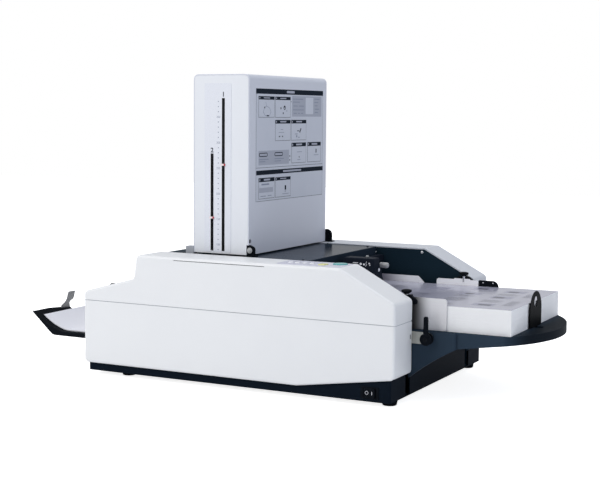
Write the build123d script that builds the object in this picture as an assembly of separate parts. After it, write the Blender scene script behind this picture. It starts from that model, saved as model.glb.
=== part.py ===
from build123d import *
from math import acos, atan2, cos, degrees, pi, radians, sin, sqrt, tan
import os

# A desk-top paper folding machine, in millimetres.
# X runs from the delivery end to the feed end, Y from the operator's side to the rear, Z up.
# While the pieces are drawn, X = 0 is the feed end of the side covers and Z = 0 is the desk.
# save() then moves them so that the origin is under the middle of the whole machine.

# ---- side covers and frames ----
frame_side_room = 18.0       # from the widest sheet's edge to a side frame
cover_width = 79.5           # one side cover, across the machine
cover_length = 674.7
cover_top = 248.5
cover_floor = 25.0           # lower edge of the covers
cover_split = 152.0          # seam between lower and upper cover
seam_gap = 0.8
cover_wall = 2.5
cover_round = 10.0           # corners of the cover seen from the front
cover_edge = 5.0             # rounded edge round the outer face
nose_run = 108.8             # slope at the feed end, along X
nose_drop = 57.8
chin_run = 196.4             # rising lower edge at the feed end, along X
chin_rise = 28.3
tail_run = 118.3             # low part at the delivery end, along X
tail_drop = 47.8
tail_fall = 31.7             # slope of the low part down to the delivery end
tail_lean = 6.8
frame_sheet = 2.0
frame_fit = 0.6              # between a frame's edge and the cover round it
rim_step = 0.4               # cover's inner rim stands back from the frame's face
boss_radius = 4.0
pilot_radius = 1.6
pilot_depth = 14.0
screw_hole = 2.0
seam_depth = 0.8             # groove along the seam, on the outer face only
trim_groove_start, trim_groove_end = -113.8, 85.7   # from the tower's feed-end face
trim_groove_z = 242.5
trim_groove_width = 1.2
latch_slot_width, latch_slot_height = 3.0, 9.0   # in the cover's feed end wall
latch_slot_z = 122.5
latch_slot_inset = 6.5       # from the side frame

# ---- base and feet ----
base_side = 6.8              # base stands back from the covers' outer faces
base_feed_end = 10.0
base_tail_end = 6.0
base_sheet = 2.0
base_wall_height = 50.4
base_corner = 5.0
vent_pitch = 15.0            # cooling slots under the motor
vent_width = 5.0
vent_length = 120.0
foot_height = 9.6
foot_radius = 13.0
foot_inset_feed = 26.0
foot_inset_tail = 80.0
foot_inset_side = 42.0

# ---- power switch and inlet ----
switch_x = -49.8
switch_z = 26.0
bezel_width = 35.0
bezel_height = 22.0
bezel_proud = 1.6
rocker_width = 24.0
rocker_height = 16.5
rocker_tilt = 9.0
inlet_x = -45.0
inlet_z = 28.0
inlet_width = 30.0
inlet_height = 22.0
inlet_depth = 18.0
board_length = 110.0         # main circuit board
board_width = 50.0

# ---- tower ----
tower_inset = 324.5          # tower's feed-end face, from the covers' delivery end
tower_length = 124.7
tower_front_inset = 14.6     # tower's operator face stands in from the front frame
tower_rear_reach = 20.8      # its rear goes past the rear frame
tower_floor = 250.2
tower_top = 600.8
tower_sheet = 2.0
tower_round = 10.0
slot_1_inset = 57.2          # slots, from the tower's feed-end face
slot_2_inset = 82.5
slot_width = 5.4
slot_1_low, slot_1_high = 256.0, 554.0
slot_2_low, slot_2_high = 256.0, 446.0
scale_width = 60.0
scale_height = 330.0
scale_sheet = 0.6
stopper_1_z = 425.0
stopper_2_z = 320.6
stopper_bar = 4.0
pointer_width = 9.0
pointer_height = 3.4
pointer_sheet = 3.0
pointer_gap = 0.4
chute_gap = 3.0              # free space between the two sheets of a fold plate
chute_sheet = 1.2
chute_side = 3.0             # fold plate stands back from the tower's front face
hinge_out = 2.2              # tilt axis, from the tower's feed-end face
hinge_z = 259.5
hinge_plate = 3.0
hinge_radius = 9.0
hinge_pin_radius = 4.0
hinge_fit = 0.06
hinge_gap = 0.4              # between a lug and the bracket beside it
notch_length = 5.1           # cut-out in the tower's lower feed-end corner
notch_top = 269.6
notch_depth = 29.0
rear_bracket_length = 26.0
rear_bracket_top = 276.0
window_width, window_height = 8.0, 8.0   # small opening in the feed-end wall, beside the front plate
window_z = 277.0
window_inset = 0.4           # from the front plate
window_round = 2.5
catch_length = 18.0
catch_depth = 16.0
catch_top = 261.0
catch_gap = 0.8

# ---- deck, hood and chute between the side frames ----
deck_top = 247.0
deck_feed_x = -219.6
deck_sheet = 1.5
deck_drop = 34.0
hood_z = 244.0               # middle of the hood's sheet

# ---- fold rollers and their gears ----
gear_teeth = 15
gear_module = 2.0
roller_pitch_x = 26.0        # along X from one fold roller to the next
roller_1_inset = 30.8        # from the tower's feed-end face
roller_low_z = 205.0
roller_radius = 14.6
roller_end_gap = 14.0        # roller barrel stands back from the frames
journal_radius = 6.0
bush_radius = 9.0
bush_flange = 11.0
bush_flange_sheet = 2.0
running_fit = 0.05
gear_width = 9.0
gear_backlash = 0.35
gear_shelf = 4.0             # gear stands off the rear frame
belt_sheet = 2.0
belt_width = 8.0
belt_gap = 0.3
drive_pulley_radius = 22.0
motor_pulley_radius = 11.0
motor_inset = 44.8
motor_z = 66.0
motor_radius = 30.0
motor_length = 95.0
motor_shaft_radius = 4.0

# ---- feed head ----
feed_x = -180.0
feed_roller_radius = 16.0
feed_roller_width = 46.0
feed_shaft_radius = 5.0
feed_roller_y = 0.0
head_x0, head_x1 = -202.0, -137.5
head_front_y, head_step_y, head_rear_y = -32.0, -4.0, 32.0
head_rise = 39.5             # hood's top, above the feed roller's axis
shoulder_rise = 19.0         # upper face of its lower rear half
head_shoulder_x1 = -150.0
head_clear = 11.5            # hood's lower edge, above a full stack
head_wall = 2.5
head_lean = 6.0
knob_y = 2.0
knob_grip_radius = 5.5
knob_grip_length = 17.0
knob_rise = 24.3
knob_stem_radius = 3.0
knob_gap = 0.5               # from the hood's feed end to the knob
lug_wall, lug_sheet = 2.5, 5.0   # knob's bored lug, behind the step
stay_radius = 6.0            # round stays between the frames
stay_width, stay_height = 12.0, 12.0   # square stay behind the hood
stay_rise = 26.0             # stay's lower face above the hood's lower edge
gate_x = -241.0
gate_sheet = 2.0

# ---- feed table ----
table_top = 134.0
table_sheet = 3.0
table_side_gap = 8.5         # from the side frame
table_corner_x = 174.0       # where the straight side ends
table_bow = 58.0             # how far the end swells past that
table_corner_round = 4.0
table_back_x = -236.0
skirt_low = 104.5            # lower edge beside the arms
skirt_high = 117.5           # lower edge at the bowed end
skirt_wall = 3.0
skirt_start = 20.0           # skirt begins this far behind the arm's feed end
arm_side_gap = 2.1           # from the side frame
arm_width = 15.5
arm_wall = 2.5
arm_feed_x = 84.0
arm_back_x = -150.0
arm_back_floor = 76.0
arm_toe_x = -7.0
arm_toe_z = 45.0
arm_knee_z = 104.0
arm_hollow = 2.0             # how far the lower edge bows in
arm_round = 6.0
table_raise = 6.0
table_lower = 30.0
post_x = -100.0
post_inset = 56.5            # from the side frame
post_radius = 7.0
post_block = 34.0
post_block_floor = 62.0

# ---- paper ----
sheet_length = 420.0
sheet_width = 297.0
stack_height = 47.5
stack_feed_x = 182.0

# ---- guides on the table ----
guide_gap = 0.5              # from the paper's edge
guide_sheet = 1.6
guide_floor_gap = 0.4
guide_rise = 11.5            # guides stand this far above a full stack
guide_round = 5.0
near_guide_x0, near_guide_x1 = -75.0, 61.0
far_guide_x0, far_guide_x1 = -75.0, 15.0
far_plate_x0, far_plate_x1 = -203.0, -98.0
far_plate_slope = 17.5       # bevelled top corner of the plate ahead
far_bracket_x1 = 57.0
guide_travel = 5.0
guide_leg_x = -20.0
guide_leg_width = 18.0
rail_radius = 5.0
rail_z = 118.0
rail_block_depth = 10.0
rail_block_height = 18.0
thumb_x = -17.0
thumb_radius = 9.8
thumb_rise = 14.0            # above the guides
thumb_stem_radius = 3.0
clip_rise = 4.0
clip_depth = 8.0
clip_over = 2.5
clip_clear = 1.5             # above the full stack
near_thumb_out = 4.0         # knob's axis, outside the near guide's inner face
far_thumb_out = 2.6
clip_nose = 11.0
end_guide_x = 184.5
end_guide_y = -14.0
end_guide_width = 71.0
end_guide_rise = 19.5        # above a full stack
end_guide_sheet = 1.2
end_guide_hole_radius = 10.0
end_guide_tongue = 16.0      # width of the tongue that goes down through the table
end_guide_travel = 14.0

# ---- clamp lever ----
strap_x0 = -60.0
strap_sheet = 1.5
strap_floor, strap_top = 110.0, 132.0
lever_x = 32.0
lever_hub_radius = 11.0
lever_hub_length = 15.0
lever_reach = 42.0
lever_width = 8.5
lever_stem_radius = 4.0

# ---- operation panel ----
panel_x0, panel_x1 = -246.0, -114.0
panel_outer_margin = 10.0    # from the cover's outer face
panel_inner_margin = 7.5     # from the side frame
panel_sheet = 0.8
start_key_x, start_key_inset, start_key_radius = -134.5, 16.0, 14.0
stop_key_x, stop_key_inset = -159.0, 24.0
stop_key_length, stop_key_depth = 14.0, 18.0
set_key_radius = 5.0
set_key_first_x = -228.0
set_key_pitch = 15.0
set_key_inset = 27.0
key_collar = 1.4             # collar under the cover, wider than the cap
key_collar_sheet = 2.0
key_proud = 1.6
key_travel = 1.0
key_gap = 0.4

# ---- delivery ----
tray_reach = 193.3           # tray's tip stands out past the covers
tray_tuck = 74.7             # how far the tray goes in under the hood
tray_side_gap = 2.5          # from the side frame
tray_floor = 63.5            # upper face of the flat part
tray_sheet = 2.0
tray_flange = 8.0
tray_curve_length = 70.0
tray_tip_z = 102.0
tray_dip = 5.0
tray_travel = 80.0
rail_shelf = 12.0
folded_length = 148.0
folded_height = 4.0
flap_y = -44.0
flap_width = 30.0
flap_height = 28.0
flap_root = 12.0
flap_lean = 6.0
flap_sheet = 1.6
delivery_inset = 19.7        # delivery shaft, from the covers' delivery end
delivery_z = 150.0
delivery_shaft_radius = 5.0
wheel_reach = 61.0
wheel_z = 88.0
wheel_radius = 20.0
wheel_width = 12.0
wheel_pitch = 60.0
wheel_shaft_radius = 3.0
delivery_arm_y = 96.0
delivery_arm_sheet = 4.0

# ---- worked out from the sizes above ----
half_inner = sheet_width / 2 + frame_side_room
half_rim = half_inner + rim_step
half_outer = half_inner + cover_width
frame_inset = cover_wall + frame_fit
base_half = half_outer - base_side
base_x0 = -cover_length + base_tail_end
base_x1 = -base_feed_end
base_top = foot_height + base_wall_height
pan_floor = foot_height + base_sheet
tower_feed_x = -cover_length + tower_inset
tower_x0 = tower_feed_x - tower_length
slot_1_x, slot_2_x = tower_feed_x - slot_1_inset, tower_feed_x - slot_2_inset
trim_groove_x0, trim_groove_x1 = tower_feed_x + trim_groove_start, tower_feed_x + trim_groove_end
hinge_x = tower_feed_x + hinge_out
notch_x = tower_feed_x - notch_length
rear_bracket_x0 = hinge_x + 12 - rear_bracket_length
rear_bracket_x1 = rear_bracket_x0 + rear_bracket_length
roller_1_x = tower_feed_x - roller_1_inset
motor_x = tower_feed_x - motor_inset
tower_front_y = -half_inner + tower_front_inset
tower_rear_y = half_inner + tower_rear_reach
front_bracket_y = tower_front_y + tower_sheet + 0.5
front_lug_y = front_bracket_y + hinge_plate + hinge_gap
rear_bracket_y = tower_rear_y + hinge_plate + hinge_gap
hood_top = hood_z + deck_sheet / 2
table_half_width = half_inner - table_side_gap
arm_outer_y = half_inner - arm_side_gap
post_y = half_inner - post_inset
panel_y0, panel_y1 = -half_outer + panel_outer_margin, -half_inner - panel_inner_margin
start_key_y = panel_y1 - start_key_inset
stop_key_y = panel_y0 + stop_key_inset
set_key_y = panel_y0 + set_key_inset
set_key_xs = [set_key_first_x + i * set_key_pitch for i in range(4)]
key_seat = cover_top - cover_wall        # inner face of the cover's top
rocker_axis_y = -base_half + 1.0
tray_tip_x = -cover_length - tray_reach
tray_back_x = -cover_length + tray_tuck
tray_bend_x = tray_tip_x + tray_curve_length
tray_half_width = half_inner - tray_side_gap
delivery_x = -cover_length + delivery_inset
wheel_x = delivery_x - wheel_reach
gear_pitch = gear_module * gear_teeth
roller_rise = sqrt(gear_pitch**2 - roller_pitch_x**2)
roller_centres = [(roller_1_x - i * roller_pitch_x, roller_low_z + (roller_rise if i % 2 == 0 else 0))
                  for i in range(4)]
stack_half = sheet_width / 2
stack_top = table_top + stack_height
guide_top = stack_top + guide_rise
thumb_top = guide_top + thumb_rise
clip_top = guide_top + clip_rise
end_guide_top = stack_top + end_guide_rise
end_guide_hole_z = stack_top
guide_face = stack_half + guide_gap
feed_z = stack_top + table_raise + feed_roller_radius + 1.0
head_top = feed_z + head_rise
head_shoulder = feed_z + shoulder_rise
head_floor = stack_top + head_clear
knob_grip_z = feed_z + knob_rise
guide_floor = table_top + guide_floor_gap
clip_x0, clip_x1 = thumb_x - 13, thumb_x + 10
clip_floor = guide_top - 12
stem_floor = guide_top - 6
near_thumb_y = -guide_face - near_thumb_out
far_thumb_y = guide_face + far_thumb_out
lever_z = (strap_floor + strap_top) / 2
gear_y0 = half_inner + frame_sheet + gear_shelf
gear_y1 = gear_y0 + gear_width
pulley_y0 = gear_y1 + 4
pulley_y1 = pulley_y0 + belt_width + 2
machine_tip_x = table_corner_x + table_bow
boss_places = [(-nose_run - 6.2, 240.0), (-nose_run - 112.8, 235.5), (-cover_length + tail_run + 26.4, 228.0),
               (-180.0, 100.0), (-420.0, 100.0), (-cover_length + 34.7, 100.0)]
origin_x = (tray_tip_x + machine_tip_x) / 2


# ---- small helpers ----
def block(x0, x1, y0, y1, z0, z1):
    """Box between two corners."""
    return Pos((x0 + x1) / 2, (y0 + y1) / 2, (z0 + z1) / 2) * Box(x1 - x0, y1 - y0, z1 - z0)


def rod_y(x, z, radius, y0, y1):
    return Pos(x, (y0 + y1) / 2, z) * Rot(90, 0, 0) * Cylinder(radius, y1 - y0)


def rod_x(y, z, radius, x0, x1):
    return Pos((x0 + x1) / 2, y, z) * Rot(0, 90, 0) * Cylinder(radius, x1 - x0)


def rod_z(x, y, radius, z0, z1):
    return Pos(x, y, (z0 + z1) / 2) * Cylinder(radius, z1 - z0)


def slab_xz(face, y0, y1):
    """An outline drawn as seen from the front, made solid from y0 to y1."""
    return extrude(Plane.XZ.offset(-y1) * face, y1 - y0)


def slab_yz(face, x0, x1):
    """An outline drawn as seen from the feed end, made solid from x0 to x1."""
    return extrude(Plane.YZ.offset(x0) * face, x1 - x0)


def slab_xy(face, z0, z1):
    return extrude(Pos(0, 0, z0) * face, z1 - z0)


def outline(points, radii=None):
    """Closed outline through the points, each corner rounded by its own radius."""
    face = make_face(Polyline(*points, close=True))
    for point, radius in zip(points, radii or []):
        if radius > 0:
            corner = face.vertices().sort_by_distance((*point, 0))[0]
            face = fillet(corner, radius)
    return face


def rounded_bar(x0, x1, z0, z1, radius):
    """Outline of a bar with four equal corners."""
    return outline([(x0, z0), (x1, z0), (x1, z1), (x0, z1)], [radius] * 4)


def on_both_sides(piece):
    """The piece and its mirror image on the other side of the machine."""
    return [piece, mirror(piece, Plane.XZ)]


def bent_sheet(points, sheet, y0, y1):
    """Sheet metal folded along Y: the points run along one face of it, seen from the front."""
    line = Polyline(*points)
    band = trace(line, sheet)
    return slab_xz(band, y0, y1)


# ---- side covers ----
def cover_outline(inset=0.0):
    """Side cover seen from the front, drawn in by inset all round."""
    step_x = -cover_length + tail_run
    points = [
        (0, cover_floor + chin_rise),
        (0, cover_top - nose_drop),
        (-nose_run, cover_top),
        (step_x + tail_lean, cover_top),
        (step_x, cover_top - tail_drop),
        (-cover_length, cover_top - tail_drop - tail_fall),
        (-cover_length, cover_floor),
        (-chin_run, cover_floor),
    ]
    bulge, hollow = cover_round - inset, cover_round + inset
    radii = [bulge] * 4 + [hollow] + [bulge] * 2 + [0]
    face = make_face(Polyline(*points, close=True))
    if inset:
        face = offset(face, -inset, kind=Kind.INTERSECTION)
    corners = [face.vertices().sort_by_distance((*point, 0))[0] for point in points]
    return outline([(corner.X, corner.Y) for corner in corners], radii)


def side_cover():
    """Whole cover of the operator's side: a shell open towards the frame and at the bottom."""
    body = slab_xz(cover_outline(), -half_outer, -half_rim)
    front_edges = body.faces().sort_by(Axis.Y)[0].edges()
    body = fillet(front_edges, cover_edge)
    inside = slab_xz(cover_outline(cover_wall), -half_outer + cover_wall, -half_rim + 1)
    open_floor = block(-cover_length + cover_wall, -cover_wall, -half_outer + cover_wall,
                       -half_rim + 1, 0, cover_floor + chin_rise + cover_round)
    body = body - inside - open_floor
    seam = block(-cover_length + cover_edge, -cover_edge, -half_outer - 1, -half_outer + seam_depth,
                 cover_split - seam_gap / 2, cover_split + seam_gap / 2)
    body = body - seam
    latch_y = -half_inner - latch_slot_inset
    slot = rounded_bar(latch_y - latch_slot_width / 2, latch_y + latch_slot_width / 2,
                       latch_slot_z - latch_slot_height / 2, latch_slot_z + latch_slot_height / 2,
                       latch_slot_width / 2 - 0.1)
    body = body - slab_yz(slot, -cover_wall - 1, 1)
    for x, z in boss_places:
        post = rod_y(x, z, boss_radius, -half_outer + cover_wall, -half_inner - frame_sheet)
        body = body + post - rod_y(x, z, pilot_radius, -half_inner - frame_sheet - pilot_depth, -half_inner)
    return body


def lower_part(body):
    reach = 2 * cover_length
    return body & block(-reach, reach, -reach, reach, 0, cover_split)


def upper_part(body):
    reach = 2 * cover_length
    return body & block(-reach, reach, -reach, reach, cover_split, cover_top + reach)


def trim_groove():
    """Shallow groove along the rounded top edge, beside the tower."""
    half = trim_groove_width / 2
    return block(trim_groove_x0, trim_groove_x1, -half_outer - 1, -half_outer + cover_wall,
                 trim_groove_z - half, trim_groove_z + half)


def key_holes():
    """Where the keys and the panel sit in the top of the operator's upper cover."""
    low, high = cover_top - 3 * cover_wall, cover_top + 1
    holes = [rod_z(start_key_x, start_key_y, start_key_radius + key_gap, low, high)]
    half_x, half_y = stop_key_length / 2 + key_gap, stop_key_depth / 2 + key_gap
    holes.append(block(stop_key_x - half_x, stop_key_x + half_x, stop_key_y - half_y, stop_key_y + half_y, low,
                       high))
    for x in set_key_xs:
        holes.append(rod_z(x, set_key_y, set_key_radius + key_gap, low, high))
    return holes


def operation_panel():
    face = rounded_bar(panel_x0, panel_x1, panel_y0, panel_y1, 6.0)
    plate = slab_xy(face, cover_top, cover_top + panel_sheet)
    for hole in key_holes():
        plate = plate - hole
    return plate


def round_key(x, y, radius):
    """Domed cap on a shank, held under the cover by a wider collar."""
    crown = cover_top + panel_sheet + key_proud
    cap = rod_z(x, y, radius, key_seat - 1, crown)
    cap = fillet(cap.edges().sort_by(Axis.Z)[-1], key_proud * 0.8)
    collar = rod_z(x, y, radius + key_collar, key_seat - 0.2 - key_collar_sheet, key_seat - 0.2)
    return cap + collar


def stop_key():
    crown = cover_top + panel_sheet + key_proud
    cap = slab_xy(rounded_bar(stop_key_x - stop_key_length / 2, stop_key_x + stop_key_length / 2,
                              stop_key_y - stop_key_depth / 2, stop_key_y + stop_key_depth / 2, 2.0),
                  key_seat - 1, crown)
    cap = chamfer(cap.faces().sort_by(Axis.Z)[-1].edges(), 0.6)
    half_x, half_y = stop_key_length / 2 + key_collar, stop_key_depth / 2 + key_collar
    collar = block(stop_key_x - half_x, stop_key_x + half_x, stop_key_y - half_y, stop_key_y + half_y,
                   key_seat - 0.2 - key_collar_sheet, key_seat - 0.2)
    return cap + collar


def panel_board():
    """Circuit board under the keys, on four short pillars from the cover's top."""
    top = key_seat - 0.2 - key_collar_sheet - key_travel - 0.3
    x0, x1 = set_key_xs[0] - 14, start_key_x + 6
    y0, y1 = panel_y0 + 3, panel_y1 - 3
    board = block(x0, x1, y0, y1, top - 1.6, top)
    places = [(x0 + 5, y0 + 5), (x0 + 5, y1 - 5), (stop_key_x + 1, y1 - 4), (x1 - 12, y0 + 5)]
    for x, y in places:
        board = board + rod_z(x, y, 3.0, top - 0.1, key_seat)
    return board


# ---- side frames ----
def side_frame(side):
    """Sheet steel frame: it follows the cover's rim, and its foot is bent in on to the pan."""
    face_out, face_in = -half_inner - frame_sheet, -half_inner
    upper = slab_xz(cover_outline(frame_inset), face_out, face_in)
    foot_x0, foot_x1 = base_x0 + base_sheet + 2, base_x1 - base_sheet - 2
    lower = block(foot_x0, foot_x1, face_out, face_in, pan_floor, base_top + 10)
    flange = block(foot_x0, foot_x1, face_in - 0.1, face_in + 12, pan_floor, pan_floor + frame_sheet)
    tray_way = block(foot_x0 - 1, tray_back_x, face_in, face_in + 13, pan_floor, pan_floor + frame_sheet + 1)
    tail_way = block(-cover_length, foot_x0, face_out - 1, face_in + 1, 0, base_top + 1)
    frame = (upper - tail_way) + lower + (flange - tray_way)
    for x, z in roller_centres:
        frame = frame - rod_y(x, z, bush_radius, face_out - 1, face_in + 1)
    for x, z in [(delivery_x, delivery_z)] + ([(feed_x, feed_z)] if side < 0 else []):
        frame = frame - rod_y(x, z, bush_radius, face_out - 1, face_in + 1)
    for x, z in boss_places:
        frame = frame - rod_y(x, z, screw_hole, face_out - 1, face_in + 1)
    if side > 0:
        frame = mirror(frame, Plane.XZ)
        frame = frame - rod_y(motor_x, motor_z, 2.5 * motor_shaft_radius, half_inner - 1,
                              half_inner + frame_sheet + 1)
    return frame


def bushes():
    """Flanged plain bushes, pressed into both frames; the feed shaft has one in the front frame only."""
    pieces = []
    bores = [(feed_x, feed_z, feed_shaft_radius), (delivery_x, delivery_z, delivery_shaft_radius)]
    bores += [(x, z, journal_radius) for x, z in roller_centres]
    for x, z, shaft in bores:
        bush = rod_y(x, z, bush_radius, -half_inner - frame_sheet - 1, -half_inner)
        bush = bush + rod_y(x, z, bush_flange, -half_inner, -half_inner + bush_flange_sheet)
        bush = bush - rod_y(x, z, shaft + running_fit, -half_inner - 20, -half_inner + 20)
        pieces += on_both_sides(bush)
    del pieces[1]
    return pieces


# ---- base ----
def base_pan():
    pan = block(base_x0, base_x1, -base_half, base_half, foot_height, base_top)
    pan = fillet(pan.edges().filter_by(Axis.Z), base_corner)
    pan = pan - block(base_x0 + base_sheet, base_x1 - base_sheet, -base_half + base_sheet,
                      base_half - base_sheet, pan_floor, base_top + 1)
    # mouth for the delivery tray, ways for the table's arms
    pan = pan - block(base_x0 - 1, base_x0 + base_sheet + 1, -half_inner, half_inner,
                      tray_floor - tray_sheet - tray_flange - 3, base_top + 1)
    way = block(base_x1 - base_sheet - 1, base_x1 + 1, -half_inner - frame_sheet - 0.5,
                -arm_outer_y + arm_width + 2, pan_floor, base_top + 1)
    for piece in on_both_sides(way):
        pan = pan - piece
    # openings for the switch and the inlet
    half, rise = bezel_width / 2 - 2, bezel_height / 2 - 2
    pan = pan - block(switch_x - half, switch_x + half, -base_half - 1, -base_half + base_sheet + 1,
                      switch_z - rise, switch_z + rise)
    pan = pan - block(inlet_x - inlet_width / 2, inlet_x + inlet_width / 2, base_half - base_sheet - 1,
                      base_half + 1, inlet_z - inlet_height / 2, inlet_z + inlet_height / 2)
    # cooling slots under the motor
    for i in range(7):
        x = motor_x + (i - 3) * vent_pitch
        pan = pan - block(x, x + vent_width, -vent_length / 2, vent_length / 2, foot_height - 1, pan_floor + 1)
    return pan


def rubber_feet():
    feet = []
    for x in (-foot_inset_feed, -cover_length + foot_inset_tail):
        for y in (-half_outer + foot_inset_side, half_outer - foot_inset_side):
            foot = Pos(x, y, foot_height / 2) * Cone(foot_radius, foot_radius + 2, foot_height)
            feet.append(fillet(foot.edges().sort_by(Axis.Z)[0], 2.0))
    return feet


def switch_bezel():
    """Square frame round the rocker, with the switch's body behind the wall."""
    front = -base_half - bezel_proud
    half, rise = bezel_width / 2, bezel_height / 2
    rim = slab_xz(rounded_bar(switch_x - half, switch_x + half, switch_z - rise, switch_z + rise, 1.5), front,
                  -base_half)
    body = block(switch_x - bezel_width / 2 + 2.3, switch_x + bezel_width / 2 - 2.3, -base_half - 0.1,
                 -base_half + 22, switch_z - bezel_height / 2 + 2.3, switch_z + bezel_height / 2 - 2.3)
    well = block(switch_x - rocker_width / 2 - 0.5, switch_x + rocker_width / 2 + 0.5, front - 1,
                 -base_half + 9, switch_z - rocker_height / 2 - 0.4, switch_z + rocker_height / 2 + 0.4)
    return rim + body - well


def power_rocker():
    """Rocker with a shallow V face on a barrel, its left end pressed in."""
    half = rocker_width / 2
    brow = -bezel_proud - 2.4
    face = outline([(-half + 0.8, brow), (0, brow + 1.6), (half - 0.8, brow), (half - 0.8, 0), (4, 3.4),
                    (-4, 3.4), (-half + 0.8, 0)])
    solid = extrude(face, rocker_height / 2, both=True)
    return Pos(switch_x, rocker_axis_y, switch_z) * Rot(0, 0, -rocker_tilt) * solid


def power_inlet():
    """Appliance inlet: recessed socket with three flat pins."""
    rear = base_half + 1.5

    def inlet_block(grow, y0, y1):
        half, rise = inlet_width / 2 + grow, inlet_height / 2 + grow
        return block(inlet_x - half, inlet_x + half, y0, y1, inlet_z - rise, inlet_z + rise)

    body = inlet_block(3, base_half, rear) + inlet_block(-0.3, base_half - inlet_depth, base_half + 0.1)
    body = body - inlet_block(-2.5, rear - inlet_depth + 3, rear + 1)
    for dx, dz in ((-7, -2), (0, 3), (7, -2)):
        body = body + block(inlet_x + dx - 1, inlet_x + dx + 1, rear - inlet_depth + 2.9, rear - 4,
                            inlet_z + dz - 2, inlet_z + dz + 2)
    return body


def cross_stays():
    """Round bars that hold the two side frames apart."""
    high = cover_split - 2
    places = [(gate_x - 49.0, high), (-cover_length + tail_run + 36.4, high), (gate_x - 21.0, base_top - 20)]
    return [rod_y(x, z, stay_radius, -half_inner, half_inner) for x, z in places]


# ---- tower: two upright fold plates in a sheet steel case that tilts for clearing paper ----
def tower_shell():
    """Case bent from sheet: both sides, rear and top, open at the front and at the bottom."""
    case = block(tower_x0, tower_feed_x, tower_front_y, tower_rear_y, tower_floor, tower_top)
    case = fillet(case.edges().filter_by(Axis.Y).group_by(Axis.Z)[-1], tower_round)
    x0, x1, high = tower_x0 + tower_sheet, tower_feed_x - tower_sheet, tower_top - tower_sheet
    round_in = tower_round - tower_sheet
    hollow = slab_xz(outline([(x0, tower_floor - 1), (x1, tower_floor - 1), (x1, high), (x0, high)],
                             [0, 0, round_in, round_in]), tower_front_y - 1, tower_rear_y - tower_sheet)
    window_y = tower_front_y + tower_sheet + window_inset
    window = rounded_bar(window_y, window_y + window_width, window_z - window_height / 2,
                         window_z + window_height / 2, window_round)
    return case - hollow - hinge_notch() - slab_yz(window, x1 - 1, tower_feed_x + 1)


def hinge_notch():
    """Cut-out at the foot of the tower that shows the front hinge."""
    y0, y1, z0 = tower_front_y - 1, tower_front_y + notch_depth, tower_floor - 1
    middle = (tower_front_y + notch_depth * 0.7, tower_floor + (notch_top - tower_floor) * 0.71)
    face = make_face(Polyline((y1, z0), (y0, z0), (y0, notch_top), (tower_front_y, notch_top))
                     + ThreePointArc((tower_front_y, notch_top), middle, (y1, tower_floor))
                     + Line((y1, tower_floor), (y1, z0)))
    return slab_yz(face, notch_x, tower_feed_x + 1)


def tower_front():
    """Front plate with the two stopper slots, set between the case's sides."""
    fit = 0.2
    x0, x1 = tower_x0 + tower_sheet + fit, tower_feed_x - tower_sheet - fit
    high, round_in = tower_top - tower_sheet - fit, tower_round - tower_sheet
    face = outline([(x0, tower_floor), (x1, tower_floor), (x1, high), (x0, high)], [0, 0, round_in, round_in])
    plate = slab_xz(face, tower_front_y, tower_front_y + tower_sheet)
    plate = plate - slot_cuts(tower_front_y - 1, tower_front_y + tower_sheet + 1)
    return plate - hinge_notch()


def slot_cuts(y0, y1):
    cuts = Part()
    for x, low, high in ((slot_1_x, slot_1_low, slot_1_high), (slot_2_x, slot_2_low, slot_2_high)):
        half = slot_width / 2
        cuts = cuts + slab_xz(rounded_bar(x - half, x + half, low, high, half - 0.1), y0, y1)
    return cuts


def scale_plate():
    """Thin plate on the front with the fold length scale between the slots."""
    mid = (slot_1_x + slot_2_x) / 2
    low = tower_floor + 3
    plate = slab_xz(rounded_bar(mid - scale_width / 2, mid + scale_width / 2, low, low + scale_height, 2.0),
                    tower_front_y - scale_sheet, tower_front_y)
    return plate - slot_cuts(tower_front_y - 2, tower_front_y + 1)


def fold_plate(x):
    """Two upright sheets with a narrow way between them for the paper, joined along both edges."""
    y0, y1 = tower_front_y + chute_side, tower_rear_y - tower_sheet
    low, high = tower_floor - 11, tower_top - tower_sheet - 12
    half = chute_gap / 2
    pieces = []
    for side in (-1, 1):
        inner, outer = side * half, side * (half + chute_sheet)
        flare = side * 3.0
        face = outline([(x + inner, low + 8), (x + inner, high), (x + outer, high), (x + outer, low + 8),
                        (x + outer + flare, low), (x + inner + flare, low)])
        pieces.append(slab_xz(face, y0, y1))
    plate = pieces[0] + pieces[1]
    for y in (y0, y1 - 4):
        plate = plate + block(x - half - 0.1, x + half + 0.1, y, y + 4, high - 20, high)
    # below the tower's floor it is no wider than the way between the frames
    return plate - block(x - 10, x + 10, half_inner - frame_sheet, y1 + 1, low - 1, tower_floor)


def stopper(x, z):
    """Bar across the fold plate, with the neck that leaves through the slot and the pointer outside."""
    y0, y1 = tower_front_y + chute_side, tower_rear_y - tower_sheet
    face_y = tower_front_y - scale_sheet - pointer_gap
    half = stopper_bar / 2
    bar = block(x - chute_gap / 2 + 0.4, x + chute_gap / 2 - 0.4, y0 + 5, y1 - 6, z - half, z + half)
    neck = block(x - 1.1, x + 1.1, face_y - 1, y0 + 5.1, z - half, z + half)
    head = slab_xz(rounded_bar(x - pointer_width / 2, x + pointer_width / 2, z - pointer_height / 2,
                               z + pointer_height / 2, 1.2), face_y - pointer_sheet, face_y)
    return bar + neck + head


def hinge_head(y0, y1, floor, radius):
    """Upright plate from floor to a rounded head about the tilt axis."""
    plate = block(hinge_x - radius, hinge_x + radius, y0, y1, floor, hinge_z)
    return plate + rod_y(hinge_x, hinge_z, radius, y0, y1)


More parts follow.
